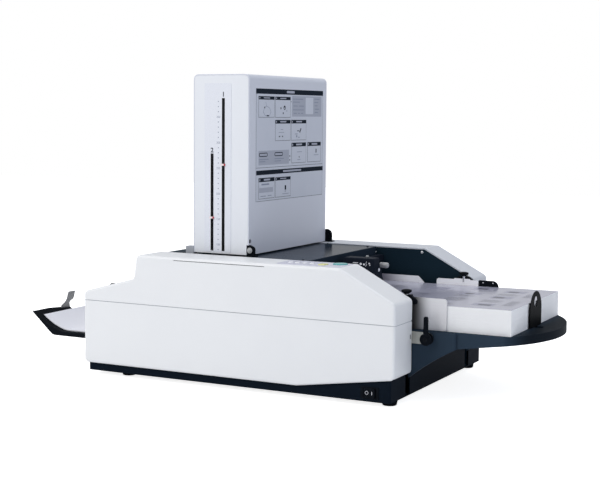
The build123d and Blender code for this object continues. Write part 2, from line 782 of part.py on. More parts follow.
def tower_brackets():
    """Front hinge bracket on the deck, rear one on the rear cover, and the catch at the other side."""
    y0, y1 = front_bracket_y, front_bracket_y + hinge_plate
    front = hinge_head(y0, y1, deck_top, hinge_radius)
    front = front + rod_y(hinge_x, hinge_z, hinge_pin_radius, y0 - 1.6, front_lug_y + hinge_plate + 1)
    front = front + block(hinge_x - hinge_radius, hinge_x + hinge_radius, y0, y1 + 12, deck_top, deck_top + 2)
    y0, y1 = rear_bracket_y, rear_bracket_y + hinge_plate
    face = outline([(rear_bracket_x0, cover_top), (rear_bracket_x1, cover_top),
                    (rear_bracket_x1, rear_bracket_top), (rear_bracket_x0, rear_bracket_top)], [0, 0, 12, 12])
    rear = slab_xz(face, y0, y1)
    rear = rear + rod_y(hinge_x, hinge_z, hinge_pin_radius, tower_rear_y + 0.3, y1)
    rear = rear + block(rear_bracket_x0, rear_bracket_x1, y0, y1 + 12, cover_top, cover_top + 2)
    x1 = tower_x0 - catch_gap
    catch = block(x1 - catch_length, x1, tower_front_y, tower_front_y + catch_depth, hood_top, catch_top)
    catch = chamfer(catch.edges().filter_by(Axis.Y).sort_by_distance((x1, 0, catch_top))[0], 3.0)
    return [front, rear, catch]


def tower_lugs():
    """Lugs of the tower, bored for the hinge pins: one inside the case, one behind its rear wall."""
    lugs = []
    for y0 in (front_lug_y, tower_rear_y):
        y1 = y0 + hinge_plate
        lug = rod_y(hinge_x, hinge_z, hinge_radius - 0.5, y0, y1)
        arm = block(hinge_x - 24, tower_feed_x - tower_sheet, y0, y1, hinge_z - 4, hinge_z + 24)
        lug = lug + arm - rod_y(hinge_x, hinge_z, hinge_pin_radius + hinge_fit, y0 - 1, y1 + 1)
        lugs.append(lug)
    return lugs


# ---- deck and sheet metal between the frames ----
def top_deck():
    """Gloss deck between the tower and the feed head, bent down at its feed end."""
    y = half_inner - 0.3
    x0 = tower_feed_x - 14
    deck = block(x0, deck_feed_x, -y, y, deck_top - deck_sheet, deck_top)
    deck = deck + block(deck_feed_x - deck_sheet, deck_feed_x, -y, y, deck_top - deck_drop, deck_top)
    return fillet(deck.edges().filter_by(Axis.Y).sort_by_distance((deck_feed_x, 0, deck_top))[0], 1.2)


def delivery_hood():
    """Dark sheet over the fold rollers and down to the delivery end."""
    y = half_inner - 0.3
    x1 = tower_x0 - 2
    step_x = -cover_length + tail_run
    points = [(x1, hood_z), (step_x + tail_lean + 4, hood_z), (step_x + 2, cover_top - tail_drop - 4),
              (delivery_x + 24, cover_top - tail_drop - tail_fall + 4)]
    return bent_sheet(points, deck_sheet, -y, y)


def delivery_chute():
    """Sheet that the folded paper slides down from the last nip to the tray."""
    y = half_inner - 0.3
    last_x, last_z = roller_centres[-1]
    end_z = tray_floor + 32.5
    points = [(last_x - 22, last_z - 4), (last_x - 60, last_z - 34), (delivery_x + 40, end_z + 12),
              (delivery_x + 26, end_z)]
    return bent_sheet(points, deck_sheet, -y, y)


def infeed_guides():
    """Upper and lower sheet that lead the paper from the gate to the first nip."""
    y = half_inner - 0.3
    x0, z0 = gate_x - 3, stack_top + 7
    x1, z1 = roller_1_x + 17, roller_centres[0][1] - 14
    lower = bent_sheet([(x0, z0 - 2), (x1, z1 - 2)], 1.2, -y, y)
    upper = bent_sheet([(x0, z0 + 3.5), (x1, z1 + 3.5)], 1.2, -y, y)
    return [lower, upper]


def gate_plate():
    """Plate that the front edge of the stack stands against, bent over at its top."""
    y = half_inner - 0.3
    return block(gate_x - gate_sheet, gate_x, -y, y, table_top - table_lower - 10, stack_top + 4)


# ---- fold rollers ----
def gear_phase(index):
    """Turn of each gear that brings its teeth into the gaps of the one before."""
    phase = 0.0
    for i in range(index):
        (xa, za), (xb, zb) = roller_centres[i], roller_centres[i + 1]
        line = degrees(atan2(zb - za, xb - xa))
        phase = 2 * line + 180 + 180 / gear_teeth - phase
    return phase


def gear_outline():
    """Spur gear with involute flanks of 20 degrees pressure angle, thinned by the backlash."""
    pitch_radius = gear_pitch / 2
    pressure = radians(20)
    base_radius = pitch_radius * cos(pressure)
    tip, root = pitch_radius + 0.85 * gear_module, pitch_radius - 1.15 * gear_module
    half_base = pi / (2 * gear_teeth) - gear_backlash / gear_pitch + tan(pressure) - pressure
    flank = [(root, half_base)]
    for i in range(4):
        radius = base_radius + (tip - base_radius) * i / 3
        angle = acos(base_radius / radius)
        flank.append((radius, half_base - tan(angle) + angle))
    points = []
    for tooth in range(gear_teeth):
        middle = 2 * pi * tooth / gear_teeth
        points += [(radius, middle - half) for radius, half in flank]
        points += [(radius, middle + half) for radius, half in reversed(flank)]
    return make_face(Polyline(*[(r * cos(a), r * sin(a)) for r, a in points], close=True))


def fold_roller(index):
    """Rubbered barrel on a shaft whose journals run in the bushes, with its gear behind the rear frame."""
    x, z = roller_centres[index]
    barrel_end = half_inner - roller_end_gap
    barrel = rod_y(x, z, roller_radius, -barrel_end, barrel_end)
    for i in range(1, 4):
        y = -barrel_end + i * barrel_end / 2
        groove = rod_y(x, z, roller_radius + 1, y - 2, y + 2) - rod_y(x, z, roller_radius - 1, y - 3, y + 3)
        barrel = barrel - groove
    shaft_end = pulley_y1 + 1 if index == 3 else gear_y1 + 4
    shaft = rod_y(x, z, journal_radius, -half_inner - frame_sheet - 3, shaft_end)
    gear = slab_xz(Pos(x, z) * Rot(0, 0, gear_phase(index)) * gear_outline(), gear_y0, gear_y1)
    hub = rod_y(x, z, journal_radius + 3, half_inner + frame_sheet + 1.4, gear_y1 + 2)
    roller = barrel + shaft + gear + hub
    if index == 3:
        roller = roller + grooved_pulley(x, z, drive_pulley_radius)
        roller = roller + rod_y(x, z, journal_radius + 3, gear_y1, pulley_y0)
    return roller


def grooved_pulley(x, z, radius):
    """Flat belt pulley with a flange each side."""
    pulley = rod_y(x, z, radius, pulley_y0, pulley_y1)
    for y in (pulley_y0, pulley_y1 - 1):
        pulley = pulley + rod_y(x, z, radius + 3, y, y + 1)
    return pulley


def motor():
    """Motor with its flange against the rear frame, and a terminal box on top."""
    y1 = half_inner
    can = rod_y(motor_x, motor_z, motor_radius, y1 - motor_length, y1 - 6)
    can = fillet(can.edges().sort_by(Axis.Y)[0], 4.0)
    flange = block(motor_x - motor_radius, motor_x + motor_radius, y1 - 6.1, y1, motor_z - motor_radius,
                   motor_z + motor_radius)
    flange = fillet(flange.edges().filter_by(Axis.Y), 8.0)
    box = block(motor_x - 20, motor_x + 20, y1 - motor_length + 20, y1 - 20, motor_z,
                motor_z + motor_radius + 12)
    body = can + flange + box
    return body - rod_y(motor_x, motor_z, motor_shaft_radius + running_fit, y1 - 40, y1 + 1)


def motor_rotor():
    """Motor shaft with the small pulley on its end."""
    shaft = rod_y(motor_x, motor_z, motor_shaft_radius, half_inner - 39, pulley_y1 + 1)
    return shaft + grooved_pulley(motor_x, motor_z, motor_pulley_radius)


def drive_belt():
    """Flat belt round the motor pulley and the drive pulley."""
    ends = [(motor_x, motor_z, motor_pulley_radius), (*roller_centres[3], drive_pulley_radius)]
    loops = []
    for out in (belt_gap, belt_gap + belt_sheet):
        loops.append(make_hull([Pos(x, z) * Circle(radius + out).edge() for x, z, radius in ends]))
    return slab_xz(loops[1] - loops[0], pulley_y0 + 2, pulley_y1 - 2)


# ---- feed head ----
def feed_roller():
    """Rubber roller on a shaft from the front frame's bush to the hood's rear wall."""
    y0, y1 = feed_roller_y - feed_roller_width / 2, feed_roller_y + feed_roller_width / 2
    rubber = rod_y(feed_x, feed_z, feed_roller_radius, y0, y1)
    rubber = chamfer(rubber.edges().filter_by(GeomType.CIRCLE), 1.0)
    return rubber + rod_y(feed_x, feed_z, feed_shaft_radius, -half_inner - frame_sheet - 3, head_rear_y + 2)


def head_profile(x1, top, inset):
    """Hood seen from the front: upright at the back, leaning out to its foot at the feed end."""
    low = head_floor - 1 if inset else head_floor
    return [(head_x0 + inset, low), (x1 + head_lean - inset, low), (x1 - inset, top - inset),
            (head_x0 + inset, top - inset)]


def feed_head():
    """Hood over the feed roller, open below: high towards the operator, with a lower half behind."""
    high = slab_xz(outline(head_profile(head_x1, head_top, 0), [0, 0, 3, 3]), head_front_y, head_step_y)
    high = fillet(high.edges().filter_by(Axis.X).group_by(Axis.Z)[-1], 2.0)
    low = slab_xz(outline(head_profile(head_shoulder_x1, head_shoulder, 0)), head_step_y - 0.1, head_rear_y)
    inside = slab_xz(outline(head_profile(head_x1, head_top, head_wall)), head_front_y + head_wall,
                     head_step_y - head_wall)
    inside = inside + slab_xz(outline(head_profile(head_shoulder_x1, head_shoulder, head_wall)),
                              head_front_y + head_wall, head_rear_y - head_wall)
    bore = rod_y(feed_x, feed_z, feed_shaft_radius + running_fit, head_front_y - 1, head_rear_y + 1)
    half, x1 = knob_stem_radius + lug_wall, head_shoulder_x1 - 0.5
    x0 = x1 - lug_sheet
    lug = rod_x(knob_y, knob_grip_z, half, x0, x1)
    lug = lug + block(x0, x1, knob_y - half, knob_y + half, head_shoulder - 1, knob_grip_z)
    knob_bore = rod_x(knob_y, knob_grip_z, knob_stem_radius + running_fit, x0 - 7, x1 + 2)
    return high + low - inside - bore + lug - knob_bore


def separator_knob():
    """Round grey knob at the feed end of the hood: it sets the separator's gap."""
    x0, x1 = head_x1 + knob_gap, head_x1 + knob_gap + knob_grip_length
    grip = rod_x(knob_y, knob_grip_z, knob_grip_radius, x0, x1)
    grip = fillet(grip.edges().sort_by(Axis.X)[-1], knob_grip_radius * 0.7)
    for i in range(8):
        angle, out = radians(45 * i), knob_grip_radius + 0.5
        grip = grip - rod_x(knob_y + out * cos(angle), knob_grip_z + out * sin(angle), 0.9, x0 + 2, x1)
    return grip + rod_x(knob_y, knob_grip_z, knob_stem_radius, head_shoulder_x1 - 7, x0 + 0.1)


def head_stay():
    """Square bar between the frames that the hood rests against."""
    low = head_floor + stay_rise
    return block(head_x0 - stay_width, head_x0, -half_inner, half_inner, low, low + stay_height)


# ---- feed table ----
def table_outline(inset=0.0):
    """Table seen from above, with its bowed end, drawn in by inset."""
    y, x0, x1 = table_half_width - inset, table_back_x + inset, table_corner_x - inset
    tip = table_corner_x + table_bow - inset
    edge = Polyline((x1, y), (x0, y), (x0, -y), (x1, -y)) + ThreePointArc((x1, -y), (tip, 0), (x1, y))
    face = make_face(edge)
    corners = face.vertices().group_by(Axis.X)[-1]
    return face if inset else fillet(corners, table_corner_round)


def arm_outline():
    middle = ((arm_toe_x + arm_feed_x) / 2 + arm_hollow, (arm_toe_z + arm_knee_z) / 2 + 2.5 * arm_hollow)
    return make_face(
        Polyline((arm_toe_x, arm_toe_z), (arm_toe_x, arm_back_floor), (arm_back_x, arm_back_floor),
                 (arm_back_x, table_top - 1), (arm_feed_x, table_top - 1), (arm_feed_x, arm_knee_z))
        + ThreePointArc((arm_feed_x, arm_knee_z), middle, (arm_toe_x, arm_toe_z)))


def table_arm():
    """Side arm: a channel open to the inside, which carries the table on the lift blocks."""
    y0, y1 = -arm_outer_y, -arm_outer_y + arm_width
    arm = slab_xz(arm_outline(), y0, y1)
    arm = fillet(arm.edges().filter_by(Axis.Z).sort_by_distance((arm_feed_x, y0, table_top))[0], arm_round)
    pocket = slab_xz(offset(arm_outline(), -arm_wall, kind=Kind.INTERSECTION), y0 + arm_wall, y1 + 1)
    return arm - pocket


def feed_table():
    """Table plate with a skirt that gets shallower towards its free end, and its two side arms."""
    floor, under = skirt_low - 30, table_top - table_sheet
    skirt_x = arm_feed_x - skirt_start
    body = slab_xy(table_outline(), floor, table_top)
    cut = outline([(table_back_x - 1, under), (skirt_x, under), (skirt_x, skirt_low), (arm_feed_x, skirt_low),
                   (table_corner_x, skirt_high), (machine_tip_x + 1, skirt_high),
                   (machine_tip_x + 1, floor - 1), (table_back_x - 1, floor - 1)])
    body = body - slab_xz(cut, -table_half_width - 1, table_half_width + 1)
    reach = table_corner_x - skirt_x - skirt_wall
    inside = Pos(table_corner_x, 0) * Rectangle(2 * reach, 2 * table_half_width)
    body = body - slab_xy(table_outline(skirt_wall) & inside, floor - 1, under)
    for arm in on_both_sides(table_arm()):
        body = body + arm
    for slot in table_slots():
        body = body - slot
    return body


def table_slots():
    """Ways through the plate for the legs of the side guides and of the end guide."""
    x0, x1 = guide_leg_x - guide_leg_width / 2 - 1, guide_leg_x + guide_leg_width / 2 + 1
    low = table_top - table_sheet - 4
    way = block(x0, x1, -guide_face - guide_sheet - guide_travel - 1, -guide_face + 1, low, table_top + 1)
    slots = on_both_sides(way)
    half = end_guide_tongue / 2 + 1
    slots.append(block(end_guide_x - 1, end_guide_x + end_guide_sheet + end_guide_travel + 1,
                       end_guide_y - half, end_guide_y + half, table_top - table_sheet - 1, table_top + 1))
    return slots


def lift_blocks():
    """Bored blocks under the table plate that slide on the two upright posts."""
    pieces = []
    half, under = post_block / 2, table_top - table_sheet
    for y in (-post_y, post_y):
        piece = block(post_x - half, post_x + half, y - half, y + half, post_block_floor, under)
        piece = piece - rod_z(post_x, y, post_radius + running_fit, 0, under - 4)
        pieces.append(piece)
    return pieces


def lift_posts():
    """Upright posts on the pan's floor, with a collar at the foot of each."""
    top = table_top - table_sheet - table_lower - 6
    posts = []
    for y in (-post_y, post_y):
        post = rod_z(post_x, y, post_radius, pan_floor, top)
        posts.append(post + rod_z(post_x, y, post_radius + 7, pan_floor, pan_floor + 5))
    return posts


def lift_cross():
    """Channel under the plate that ties both lift blocks to the arms."""
    half = post_block / 2
    y = arm_outer_y - arm_width
    low = table_top - table_sheet - 14
    piece = block(post_x - half - 6, post_x - half, -y, y, low, table_top - table_sheet)
    return piece


def guide_rail():
    """Round rail under the table, from arm to arm, that both side guides slide on."""
    y = arm_outer_y - arm_wall
    return rod_y(guide_leg_x, rail_z, rail_radius, -y, y)


def rail_foot():
    """Leg of a side guide: down through the plate to a block bored for the rail."""
    y1 = -guide_face
    y0 = y1 - guide_sheet
    x0, x1 = guide_leg_x - guide_leg_width / 2, guide_leg_x + guide_leg_width / 2
    leg = block(x0, x1, y0, y1, rail_z, guide_floor + 2)
    half = rail_block_height / 2
    shoe = block(x0, x1, y0 - 0.1, y0 + rail_block_depth, rail_z - half, rail_z + half)
    return leg + shoe - rod_y(guide_leg_x, rail_z, rail_radius + running_fit, y0 - 20, y1 + 20)


def clip_notch(plate):
    """The guide's top edge is cut away where the clip sits."""
    y0, y1 = -guide_face - guide_sheet - 1, -guide_face + 1
    return plate - block(clip_x0, clip_x1, y0, y1, clip_floor, clip_top + 1)


def near_guide():
    """Brushed steel side guide of the operator's side, on its leg."""
    face = rounded_bar(near_guide_x0, near_guide_x1, guide_floor, guide_top, guide_round)
    plate = slab_xz(face, -guide_face - guide_sheet, -guide_face)
    return clip_notch(plate) + rail_foot()


def far_guide():
    """Side guide of the rear: bright plate with a raised tab on its leg, and a second plate ahead of it."""
    y0, y1 = -guide_face - guide_sheet, -guide_face
    plate = slab_xz(rounded_bar(far_guide_x0, far_guide_x1, guide_floor, guide_top - 2, guide_round), y0, y1)
    tab = slab_xz(rounded_bar(thumb_x - 20, thumb_x + 14, guide_top - 10, guide_top, 1.0), y0, y1)
    high, x1 = guide_top - 0.5, far_plate_x1 - far_plate_slope
    ahead = slab_xz(outline([(far_plate_x0, guide_floor), (far_plate_x1, guide_floor),
                             (far_plate_x1, high - far_plate_slope), (x1, high), (far_plate_x0, high)],
                            [2, 2, 3, 3, 2]), y0, y1)
    plate = mirror(plate + tab + rail_foot(), Plane.XZ) - thumb_bore(far_thumb_y)
    return [plate, mirror(ahead, Plane.XZ)]


def far_bracket():
    """Black backing bar bolted behind both rear plates, with a rounded upright end."""
    y0 = guide_face + guide_sheet
    low, high = guide_top - 35, guide_top - 19
    face = outline([(far_plate_x0 + 13, low), (far_bracket_x1, low), (far_bracket_x1, guide_top - 1),
                    (far_guide_x1, guide_top - 1), (far_guide_x1, high), (far_plate_x0 + 13, high)],
                   [2, 4, 12, 2, 0, 2])
    return slab_xz(face, y0, y0 + 2.0)


def thumb_bore(y):
    """Seat of a thumb knob's stem."""
    return rod_z(thumb_x, y, thumb_stem_radius + running_fit, stem_floor - 0.5, clip_top + 1)


def guide_clip(face_y):
    """Black clip against face_y, outside a side guide."""
    y0, y1 = face_y - clip_depth, face_y
    seat = block(clip_x0, clip_x1, y0, y1, clip_floor, clip_top)
    nose = slab_xz(outline([(clip_x1 - 0.1, clip_floor), (clip_x1 + clip_nose, clip_floor - 1),
                            (clip_x1 + clip_nose, clip_floor + 6), (clip_x1 - 0.1, clip_top)], [0, 3, 3, 0]),
                   y0, y1 - guide_sheet)
    return seat + nose


def near_clip():
    """Clip of the near guide: it sits in the guide's notch and reaches in over the stack's edge."""
    y0, y1 = -guide_face - 0.1, -guide_face + clip_over
    over = block(clip_x0, clip_x1, y0, y1, stack_top + clip_clear, clip_top)
    return guide_clip(-guide_face) + over - thumb_bore(near_thumb_y)


def far_clip():
    """Clip of the far guide, behind its plate."""
    return mirror(guide_clip(-guide_face - guide_sheet), Plane.XZ) - thumb_bore(far_thumb_y)


def thumb_knob(y):
    """Mushroom thumb knob: domed cap, tapering neck and a plain stem."""
    neck = clip_top + 1.0
    cap_edge = thumb_top - 4.6
    rim, dome = thumb_radius - 0.4, 1.6
    dome_radius = (rim**2 + dome**2) / (2 * dome)
    half_way = (rim / 2, thumb_top - dome_radius + sqrt(dome_radius**2 - rim**2 / 4))
    stem = thumb_stem_radius
    side = Polyline((0, thumb_top), (0, stem_floor), (stem, stem_floor), (stem, neck),
                    (thumb_radius - 0.6, cap_edge - 0.6), (thumb_radius, cap_edge), (rim, thumb_top - dome))
    crown = ThreePointArc((rim, thumb_top - dome), half_way, (0, thumb_top))
    return Pos(thumb_x, y, 0) * revolve(Plane.XZ * make_face(side + crown), Axis.Z)


def end_guide():
    """Thin upright sheet: half-round top, round finger hole, and a tongue clamped under the table."""
    half = end_guide_width / 2
    low = table_top + guide_floor_gap
    centre_z = end_guide_top - half
    y0, y1 = end_guide_y - half, end_guide_y + half
    face = make_face(Polyline((y0, centre_z), (y0, low), (y1, low), (y1, centre_z))
                     + ThreePointArc((y1, centre_z), (end_guide_y, end_guide_top), (y0, centre_z)))
    x0, x1 = end_guide_x, end_guide_x + end_guide_sheet
    plate = slab_yz(face, x0, x1) - rod_x(end_guide_y, end_guide_hole_z, end_guide_hole_radius, x0 - 1, x1 + 1)
    under = table_top - table_sheet - 0.3
    half = end_guide_tongue / 2
    tongue = block(x0, x1, end_guide_y - half, end_guide_y + half, under - 4, low + 1)
    clamp = block(x0 - 3, x0 + 7, end_guide_y - 2 * half, end_guide_y + 2 * half, under - 4, under)
    return plate + tongue + clamp


def paper_stack():
    return block(stack_feed_x - sheet_length, stack_feed_x, -stack_half, stack_half, table_top, stack_top)


# ---- clamp lever ----
def lever_strap():
    """Steel strap on the front frame's inner face, past the cover's end: it carries the clamp lever."""
    y0 = -half_inner
    strap_x1, end_round = lever_x + lever_hub_radius - 1, (strap_top - strap_floor) / 2 - 0.1
    face = outline([(strap_x0, strap_floor), (strap_x1, strap_floor), (strap_x1, strap_top), (strap_x0, strap_top)],
                   [4, end_round, end_round, 4])
    strap = slab_xz(face, y0, y0 + strap_sheet)
    return strap - rod_y(lever_x, lever_z, lever_stem_radius + running_fit, y0 - 1, y0 + 3)


def clamp_lever():
    """Hub, disc and flat handle; its stem goes through the strap and presses on the table's arm."""
    y1 = -half_inner - 0.3
    y0 = y1 - lever_hub_length
    disc = rod_y(lever_x, lever_z, lever_hub_radius, y1 - 3, y1)
    disc = chamfer(disc.edges().filter_by(GeomType.CIRCLE), 0.6)
    neck = rod_y(lever_x, lever_z, lever_hub_radius - 4, y0 + 6, y1 - 2.9)
    hub = rod_y(lever_x, lever_z, lever_hub_radius, y0, y0 + 6.5)
    hub = fillet(hub.edges().sort_by(Axis.Y)[0], 1.5)
    half = lever_width / 2
    tip = lever_z + lever_reach
    handle = slab_xz(outline([(lever_x - half, lever_z), (lever_x + half, lever_z),
                              (lever_x + half - 0.6, tip), (lever_x - half + 0.6, tip)],
                             [0, 0, half - 1, half - 1]), y0 + 1, y0 + 6)
    stem = rod_y(lever_x, lever_z, lever_stem_radius, y1 - 0.1, -arm_outer_y - 0.3)
    return disc + neck + hub + handle + stem


# ---- delivery tray ----
def tray_section(drop, y0, y1):
    """Tray's side profile, drop deep: flat, then curving up to its free end."""
    low = tray_floor - drop
    bend = ((tray_bend_x + tray_tip_x) / 2 - 6, (tray_floor + tray_tip_z) / 2 - 9)
    top_line = Line((tray_back_x, tray_floor), (tray_bend_x, tray_floor))
    top_curve = ThreePointArc((tray_bend_x, tray_floor), bend, (tray_tip_x, tray_tip_z))
    side = Line((tray_tip_x, tray_tip_z), (tray_tip_x, tray_tip_z - drop * 0.7))
    low_bend = (bend[0] + drop * 0.3, bend[1] - drop * 0.9)
    low_curve = ThreePointArc((tray_tip_x, tray_tip_z - drop * 0.7), low_bend, (tray_bend_x, low))
    low_line = Polyline((tray_bend_x, low), (tray_back_x, low), (tray_back_x, tray_floor))
    return slab_xz(make_face(top_line + top_curve + side + low_curve + low_line), y0, y1)


def delivery_tray():
    """Moulded tray with turned-down sides and a curved end that dips in the middle."""
    y = tray_half_width
    tray = tray_section(tray_sheet, -y, y)
    side = tray_section(tray_flange, -y, -y + tray_sheet)
    for piece in on_both_sides(side):
        tray = tray + piece
    dip = make_face(ThreePointArc((-y, tray_tip_z), (0, tray_tip_z - tray_dip), (y, tray_tip_z))
                    + Polyline((y, tray_tip_z), (y, tray_tip_z + 20), (-y, tray_tip_z + 20), (-y, tray_tip_z)))
    return tray - slab_yz(dip, tray_tip_x - 1, tray_bend_x) - tray_flap()


def tray_rail(side):
    """Shelf rail on a frame that the tray's turned-down side rests on."""
    x0, x1 = base_x0 + base_sheet + 2, tray_back_x + tray_travel + 10
    high = tray_floor - tray_flange - 0.3
    rail = block(x0, x1, -half_inner, -half_inner + rail_shelf, high - 2, high)
    return mirror(rail, Plane.XZ) if side > 0 else rail


def tray_flap():
    """Flexible smoke-grey stop let into the tray's far edge: foot, waist and a head that leans inwards."""
    x = tray_tip_x + 2.0
    low, bend, high = tray_tip_z - flap_root, tray_tip_z + 2, tray_tip_z + flap_height
    side = Line((x, low), (x, bend)) + TangentArc((x, bend), (x + flap_lean, high), tangent=(0, 1))
    face = outline([(-20, low), (-20, tray_tip_z), (-4, tray_tip_z + 8), (1, tray_tip_z + 15), (2, high + 1),
                    (26, high + 1), (24, high - 12), (11, tray_tip_z + 9), (11, low)],
                   [0, 2, 4, 4, 0, 0, 4, 4, 0])
    band = slab_xz(trace(side, flap_sheet), flap_y - flap_width, flap_y + flap_width)
    return band & slab_yz(Pos(flap_y, 0) * face, x - 10, x + 30)


def folded_sheets():
    """Folded sheets lying in the tray, following its curved end."""
    x0, x1 = tray_tip_x + 12, tray_tip_x + 12 + folded_length
    y = sheet_width / 2
    return tray_section(-folded_height, -y, y) & block(x0, x1, -y, y, 0, 2 * tray_tip_z)


# ---- delivery wheels ----
def delivery_shaft():
    return rod_y(delivery_x, delivery_z, delivery_shaft_radius, -half_inner - frame_sheet - 3,
                 half_inner + frame_sheet + 3)


def delivery_arms():
    """Two bent arms on the delivery shaft, tied by a bar with a lifting knob."""
    arms = Part()
    path = [(delivery_x, delivery_z), (wheel_x + 6, delivery_z + 2), (wheel_x, wheel_z)]
    band = trace(Polyline(*path), 9.0)
    for y in (-delivery_arm_y, delivery_arm_y - delivery_arm_sheet):
        arm = slab_xz(band, y, y + delivery_arm_sheet)
        arm = arm + rod_y(delivery_x, delivery_z, 10.0, y - 2, y + delivery_arm_sheet + 2)
        arm = arm + rod_y(wheel_x, wheel_z, 7.0, y, y + delivery_arm_sheet)
        arms = arms + arm
    tie = rod_y(wheel_x + 6, delivery_z + 2, 4.0, -delivery_arm_y, delivery_arm_y)
    grip = rod_z(wheel_x + 6, -delivery_arm_y + 2, 7.5, delivery_z, delivery_z + 15)
    grip = fillet(grip.edges().sort_by(Axis.Z)[-1], 3.0)
    arms = arms + tie + grip
    arms = arms - rod_y(delivery_x, delivery_z, delivery_shaft_radius + running_fit, -half_inner, half_inner)
    return arms - rod_y(wheel_x, wheel_z, wheel_shaft_radius + running_fit, -half_inner, half_inner)


def delivery_wheels():
    """Soft wheels on one thin shaft, which press lightly on the folded sheets."""
    shaft = rod_y(wheel_x, wheel_z, wheel_shaft_radius, -delivery_arm_y - 2, delivery_arm_y + 2)
    wheels = shaft
    for y in (-wheel_pitch, 0.0, wheel_pitch):
        wheel = rod_y(wheel_x, wheel_z, wheel_radius, y - wheel_width / 2, y + wheel_width / 2)
        wheel = chamfer(wheel.edges().filter_by(GeomType.CIRCLE), 1.0)
        wheels = wheels + wheel
    return wheels


def control_board():
    """Main circuit board on four pillars from the pan's floor, at the rear."""
    x0, y0 = tray_back_x + 10, half_inner + 11.5
    x1, y1 = x0 + board_length, y0 + board_width
    board = block(x0, x1, y0, y1, pan_floor + 8, pan_floor + 9.6)
    for x in (x0 + 6, x1 - 6):
        for y in (y0 + 6, y1 - 6):
            board = board + rod_z(x, y, 3.0, pan_floor, pan_floor + 8.1)
    board = board + block(x0 + 20, x0 + 45, y0 + 12, y0 + 34, pan_floor + 9.5, pan_floor + 28)
    return board + block(x0 + 60, x0 + 90, y0 + 10, y0 + 26, pan_floor + 9.5, pan_floor + 20)


# ---- export ----
def save(name, pieces):
    """Moves the piece or pieces to the machine's origin and writes them as one node."""
    pieces = pieces if isinstance(pieces, list) else [pieces]
    solids = []
    for piece in pieces:
        solids += (Pos(-origin_x, 0, 0) * piece).solids()
    shape = solids[0] if len(solids) == 1 else Compound(children=solids)
    export_step(shape, f"parts/{name}.step")
    print(name, len(solids))


def build():
    front_cover = side_cover()
    rear_cover = mirror(front_cover, Plane.XZ)
    upper_front = upper_part(front_cover) - trim_groove()
    for hole in key_holes():
        upper_front = upper_front - hole
    nodes = {
        "base_pan": base_pan(),
        "rubber_feet": rubber_feet(),
        "front_frame": [side_frame(-1), tray_rail(-1)],
        "rear_frame": [side_frame(1), tray_rail(1)],
        "frame_rods": cross_stays() + lift_posts() + [delivery_shaft()],
        "front_lower_cover": lower_part(front_cover),
        "front_upper_cover": upper_front,
        "rear_lower_cover": lower_part(rear_cover),
        "rear_upper_cover": upper_part(rear_cover),
        "shaft_bushes": bushes(),
        "switch_bezel": switch_bezel(),
        "power_rocker": power_rocker(),
        "power_inlet": power_inlet(),
        "circuit_boards": [control_board(), panel_board()],
        "operation_panel": operation_panel(),
        "start_key": round_key(start_key_x, start_key_y, start_key_radius),
        "stop_key": stop_key(),
        "top_deck": top_deck(),
        "delivery_hood": delivery_hood(),
        "paper_guides": [delivery_chute(), gate_plate()] + infeed_guides(),
        "tower_brackets": tower_brackets(),
        "tower_shell": tower_shell(),
        "tower_front": tower_front(),
        "tower_lugs": tower_lugs(),
        "scale_plate": scale_plate(),
        "fold_plates": [fold_plate(slot_1_x), fold_plate(slot_2_x)],
        "stopper_1": stopper(slot_1_x, stopper_1_z),
        "stopper_2": stopper(slot_2_x, stopper_2_z),
        "drive_belt": drive_belt(),
        "motor": motor(),
        "motor_rotor": motor_rotor(),
        "feed_roller": feed_roller(),
        "feed_head": [feed_head(), head_stay()],
        "separator_knob": separator_knob(),
        "feed_table": feed_table(),
        "table_carriage": lift_blocks() + [lift_cross(), guide_rail()],
        "paper_stack": paper_stack(),
        "near_guide": near_guide(),
        "near_clip": near_clip(),
        "near_thumb_knob": thumb_knob(near_thumb_y),
        "far_guide": far_guide(),
        "far_bracket": [far_bracket(), far_clip()],
        "far_thumb_knob": thumb_knob(far_thumb_y),
        "end_guide": end_guide(),
        "lever_strap": lever_strap(),
        "clamp_lever": clamp_lever(),
        "delivery_tray": delivery_tray(),
        "tray_flap": tray_flap(),
        "folded_sheets": folded_sheets(),
        "delivery_arms": delivery_arms(),
        "delivery_wheels": delivery_wheels(),
    }
    for index, x in enumerate(set_key_xs):
        nodes[f"set_key_{index + 1}"] = round_key(x, set_key_y, set_key_radius)
    for index in range(4):
        nodes[f"fold_roller_{index + 1}"] = fold_roller(index)
    os.makedirs("parts", exist_ok=True)
    for name, pieces in nodes.items():
        save(name, pieces)


build()
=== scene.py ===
import math

import bmesh
import bpy
from mathutils import Matrix, Vector


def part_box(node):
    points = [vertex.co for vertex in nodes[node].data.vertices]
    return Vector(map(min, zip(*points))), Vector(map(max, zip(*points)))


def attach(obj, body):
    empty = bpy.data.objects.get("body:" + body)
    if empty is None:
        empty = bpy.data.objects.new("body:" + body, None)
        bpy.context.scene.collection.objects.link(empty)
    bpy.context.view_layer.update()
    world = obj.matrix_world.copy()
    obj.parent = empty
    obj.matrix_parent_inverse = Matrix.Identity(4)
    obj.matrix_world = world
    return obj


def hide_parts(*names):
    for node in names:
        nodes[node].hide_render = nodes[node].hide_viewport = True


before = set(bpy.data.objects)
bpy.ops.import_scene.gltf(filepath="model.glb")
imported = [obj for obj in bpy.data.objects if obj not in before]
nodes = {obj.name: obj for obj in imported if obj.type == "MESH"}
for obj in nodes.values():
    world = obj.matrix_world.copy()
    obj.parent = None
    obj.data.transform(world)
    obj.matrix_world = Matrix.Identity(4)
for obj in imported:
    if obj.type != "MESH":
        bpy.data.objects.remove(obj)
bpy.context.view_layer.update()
scene = bpy.context.scene
mm = 0.001
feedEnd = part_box("front_upper_cover")[1].x  # the covers' feed end, from which lengths are measured


def at(x, y, z):
    # millimetres from the covers' feed end, the machine's middle and the desk
    return Vector((feedEnd + x * mm, y * mm, z * mm))


